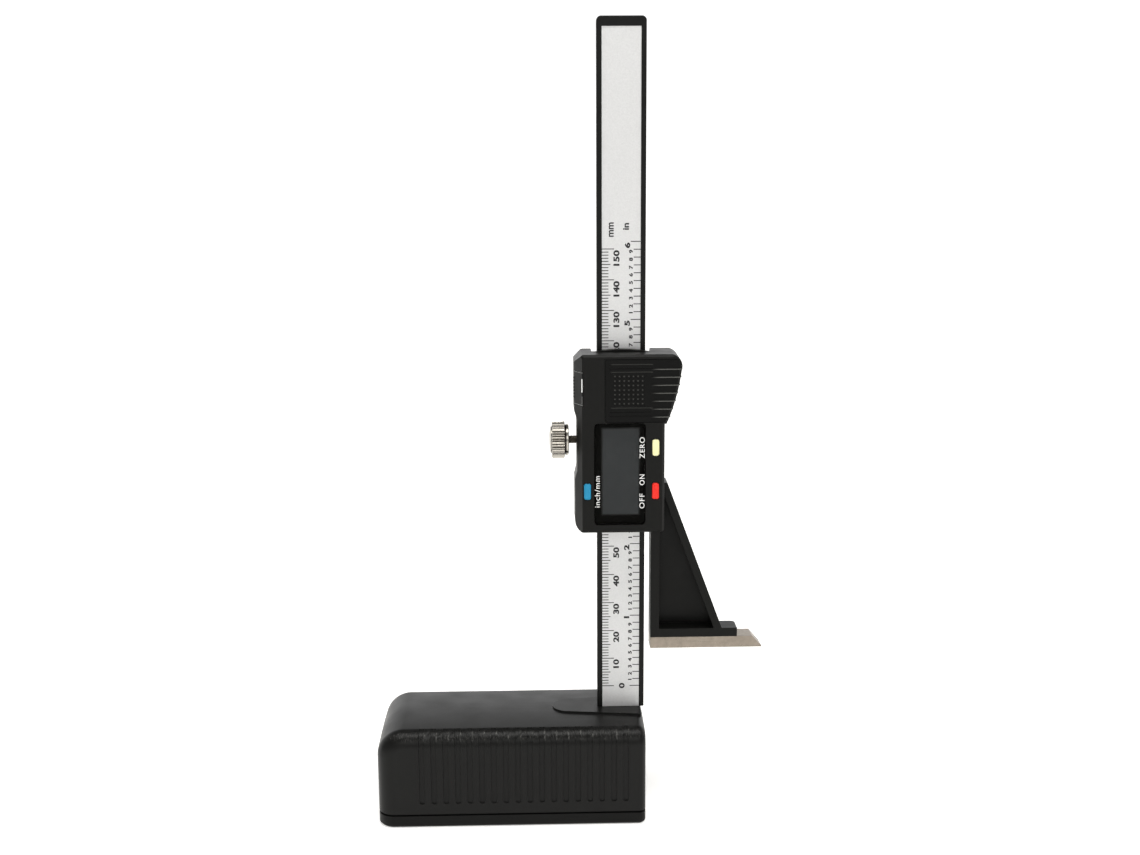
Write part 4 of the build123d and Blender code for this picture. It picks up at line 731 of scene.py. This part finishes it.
def thread_radius(x):
    """Radius of a triangular thread with flat crests at one end-to-end place."""
    def radius_of(angle):
        phase = ((x - shaft_low.x) / THREAD_PITCH - angle / (2 * math.pi)) % 1
        return shaft_radius - THREAD_DEPTH * max(0.0, 1 - abs(phase - 0.5) / 0.42)
    return radius_of


places = [shaft_low.x + shaft_length * i / slices for i in range(slices + 1)]
join_rings(screw, [ring_at(screw, x, thread_radius(x), ROUND) for x in places])
# The bluing is rubbed off, which leaves the thread a dull, brownish grey.
blued_steel = metal("blued_steel", "8d867b", "67625a", 0.34, 1.0)[0]
lock_thread = make_piece("lock_thread", screw, blued_steel, "lock_screw")
smooth(lock_thread)
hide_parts("lock_shaft")
dress("lock_pad", sheet_brass, 0.05)

# ---- Measuring blade ---------------------------------------------------------------------
# Hardened tool steel, ground on all faces and bevelled at its tip. Two black countersunk
# screws hold it under the arm's foot.
# Grinding gives its faces a soft, faintly brown sheen, drawn out along the blade.
ground_steel = metal("ground_tool_steel", "a0968a", "7d746a", 0.36, 1.6, True)[0]
dress("measuring_blade", ground_steel, 0.14)
dress("blade_screws", black_oxide_steel, 0.05)

# ---- Studio ------------------------------------------------------------------------------
# Plain pale floor of lit opal acrylic, a white backdrop that fades into a dim room, and four soft
# lights: a long one overhead, one in front and a weak one on each side.
FLOOR = 6.0
SINK = -0.02 * MM           # keeps the floor clear of the foot's underside
WARM_WHITE = (1.0, 0.99, 0.965)
floor_mesh = bpy.data.meshes.new("floor")
corners = [(-FLOOR, -FLOOR, SINK), (FLOOR, -FLOOR, SINK), (FLOOR, FLOOR, SINK), (-FLOOR, FLOOR, SINK)]
floor_mesh.from_pydata(corners, [], [(0, 1, 2, 3)])
floor = bpy.data.objects.new("floor", floor_mesh)
bpy.context.scene.collection.objects.link(floor)
floor_finish, floor_tree, floor_shader = new_finish("pale_floor")
floor_shader.inputs["Base Color"].default_value = linear("f4f4f3")
floor_shader.inputs["Roughness"].default_value = 0.9
floor_shader.inputs["Specular IOR Level"].default_value = 0.1
floor_shader.inputs["Emission Color"].default_value = (*WARM_WHITE, 1.0)
floor_place = node(floor_tree, "ShaderNodeTexCoord").outputs["Object"]
floor_far = node(floor_tree, "ShaderNodeVectorMath", {0: floor_place}, operation="LENGTH")
floor_lift = node(floor_tree, "ShaderNodeMapRange", {"Value": floor_far.outputs["Value"], "From Min": 0.2,
                                                     "From Max": 1.2, "To Min": 0.56, "To Max": 0.95})
floor_tree.links.new(floor_lift.outputs[0], floor_shader.inputs["Emission Strength"])
floor_mesh.materials.append(floor_finish)

sky = bpy.data.worlds.new("studio")
bpy.context.scene.world = sky
sky.use_nodes = True
air = sky.node_tree
toward = node(air, "ShaderNodeSeparateXYZ", {0: node(air, "ShaderNodeTexCoord").outputs["Generated"]})
behind = node(air, "ShaderNodeMapRange", {"Value": toward.outputs["Y"], "From Min": 0.25, "From Max": 0.65},
              interpolation_type="SMOOTHSTEP")
low = node(air, "ShaderNodeMapRange", {"Value": toward.outputs["Z"], "From Min": 0.62, "From Max": 0.42},
           interpolation_type="SMOOTHSTEP")
backdrop = where_all(air, behind.outputs[0], low.outputs[0])
wall = where_any(air, backdrop, where_all(air, low.outputs[0], 0.12))
room = node(air, "ShaderNodeMapRange", {"Value": wall, "To Min": 0.14, "To Max": 1.5})
seen = node(air, "ShaderNodeLightPath")       # the camera sees plain white, the pieces reflect the room
level = node(air, "ShaderNodeMix", {0: seen.outputs["Is Camera Ray"], 2: room.outputs[0], 3: 1.2},
             data_type="FLOAT")
air.links.new(level.outputs[0], air.nodes["Background"].inputs["Strength"])
air.nodes["Background"].inputs["Color"].default_value = (1.0, 1.0, 1.0, 1.0)


def softbox(name, place, aim, width, depth, power):
    """Rectangular soft light at a place, turned to its aim."""
    lamp = bpy.data.lights.new(name, "AREA")
    lamp.shape = "RECTANGLE"
    lamp.size = width
    lamp.size_y = depth
    lamp.energy = power
    lamp.color = WARM_WHITE
    stand = bpy.data.objects.new(name, lamp)
    bpy.context.scene.collection.objects.link(stand)
    stand.location = place
    stand.rotation_euler = (Vector(aim) - Vector(place)).to_track_quat("-Z", "Y").to_euler()


CENTRE = (0.02, 0.0, 0.12)  # about the gauge's middle, at which every light is aimed
softbox("top_light", (0.0, -0.22, 1.1), CENTRE, 1.2, 0.4, 8.0)
softbox("front_light", (0.0, -1.15, 0.7), CENTRE, 0.9, 0.5, 2.6)
softbox("left_light", (-0.9, 0.3, 0.7), CENTRE, 0.7, 0.7, 0.4)
softbox("right_light", (0.9, 0.1, 0.6), CENTRE, 0.7, 0.7, 1.6)

# ---- Camera ------------------------------------------------------------------------------
# A little under half a metre in front, level with the upper part of the beam, and tilted down to
# take in the foot.
camera = bpy.data.cameras.new("camera")
camera.sensor_width = 36.0
camera.lens = 44.97
camera.clip_start = 0.01
viewer = bpy.data.objects.new("camera", camera)
bpy.context.scene.collection.objects.link(viewer)
YAW, PITCH_DOWN, ROLL = math.radians(-1.44), math.radians(11.5), math.radians(0.33)
turn = (Matrix.Rotation(YAW, 4, "Z") @ Matrix.Rotation(-PITCH_DOWN, 4, "X") @ Matrix.Rotation(ROLL, 4, "Y")
        @ Matrix.Rotation(math.pi / 2, 4, "X"))
viewer.matrix_world = Matrix.Translation((9.05 * MM, -465.2 * MM, 227.4 * MM)) @ turn
bpy.context.scene.camera = viewer
bpy.context.scene.view_settings.view_transform = "Standard"
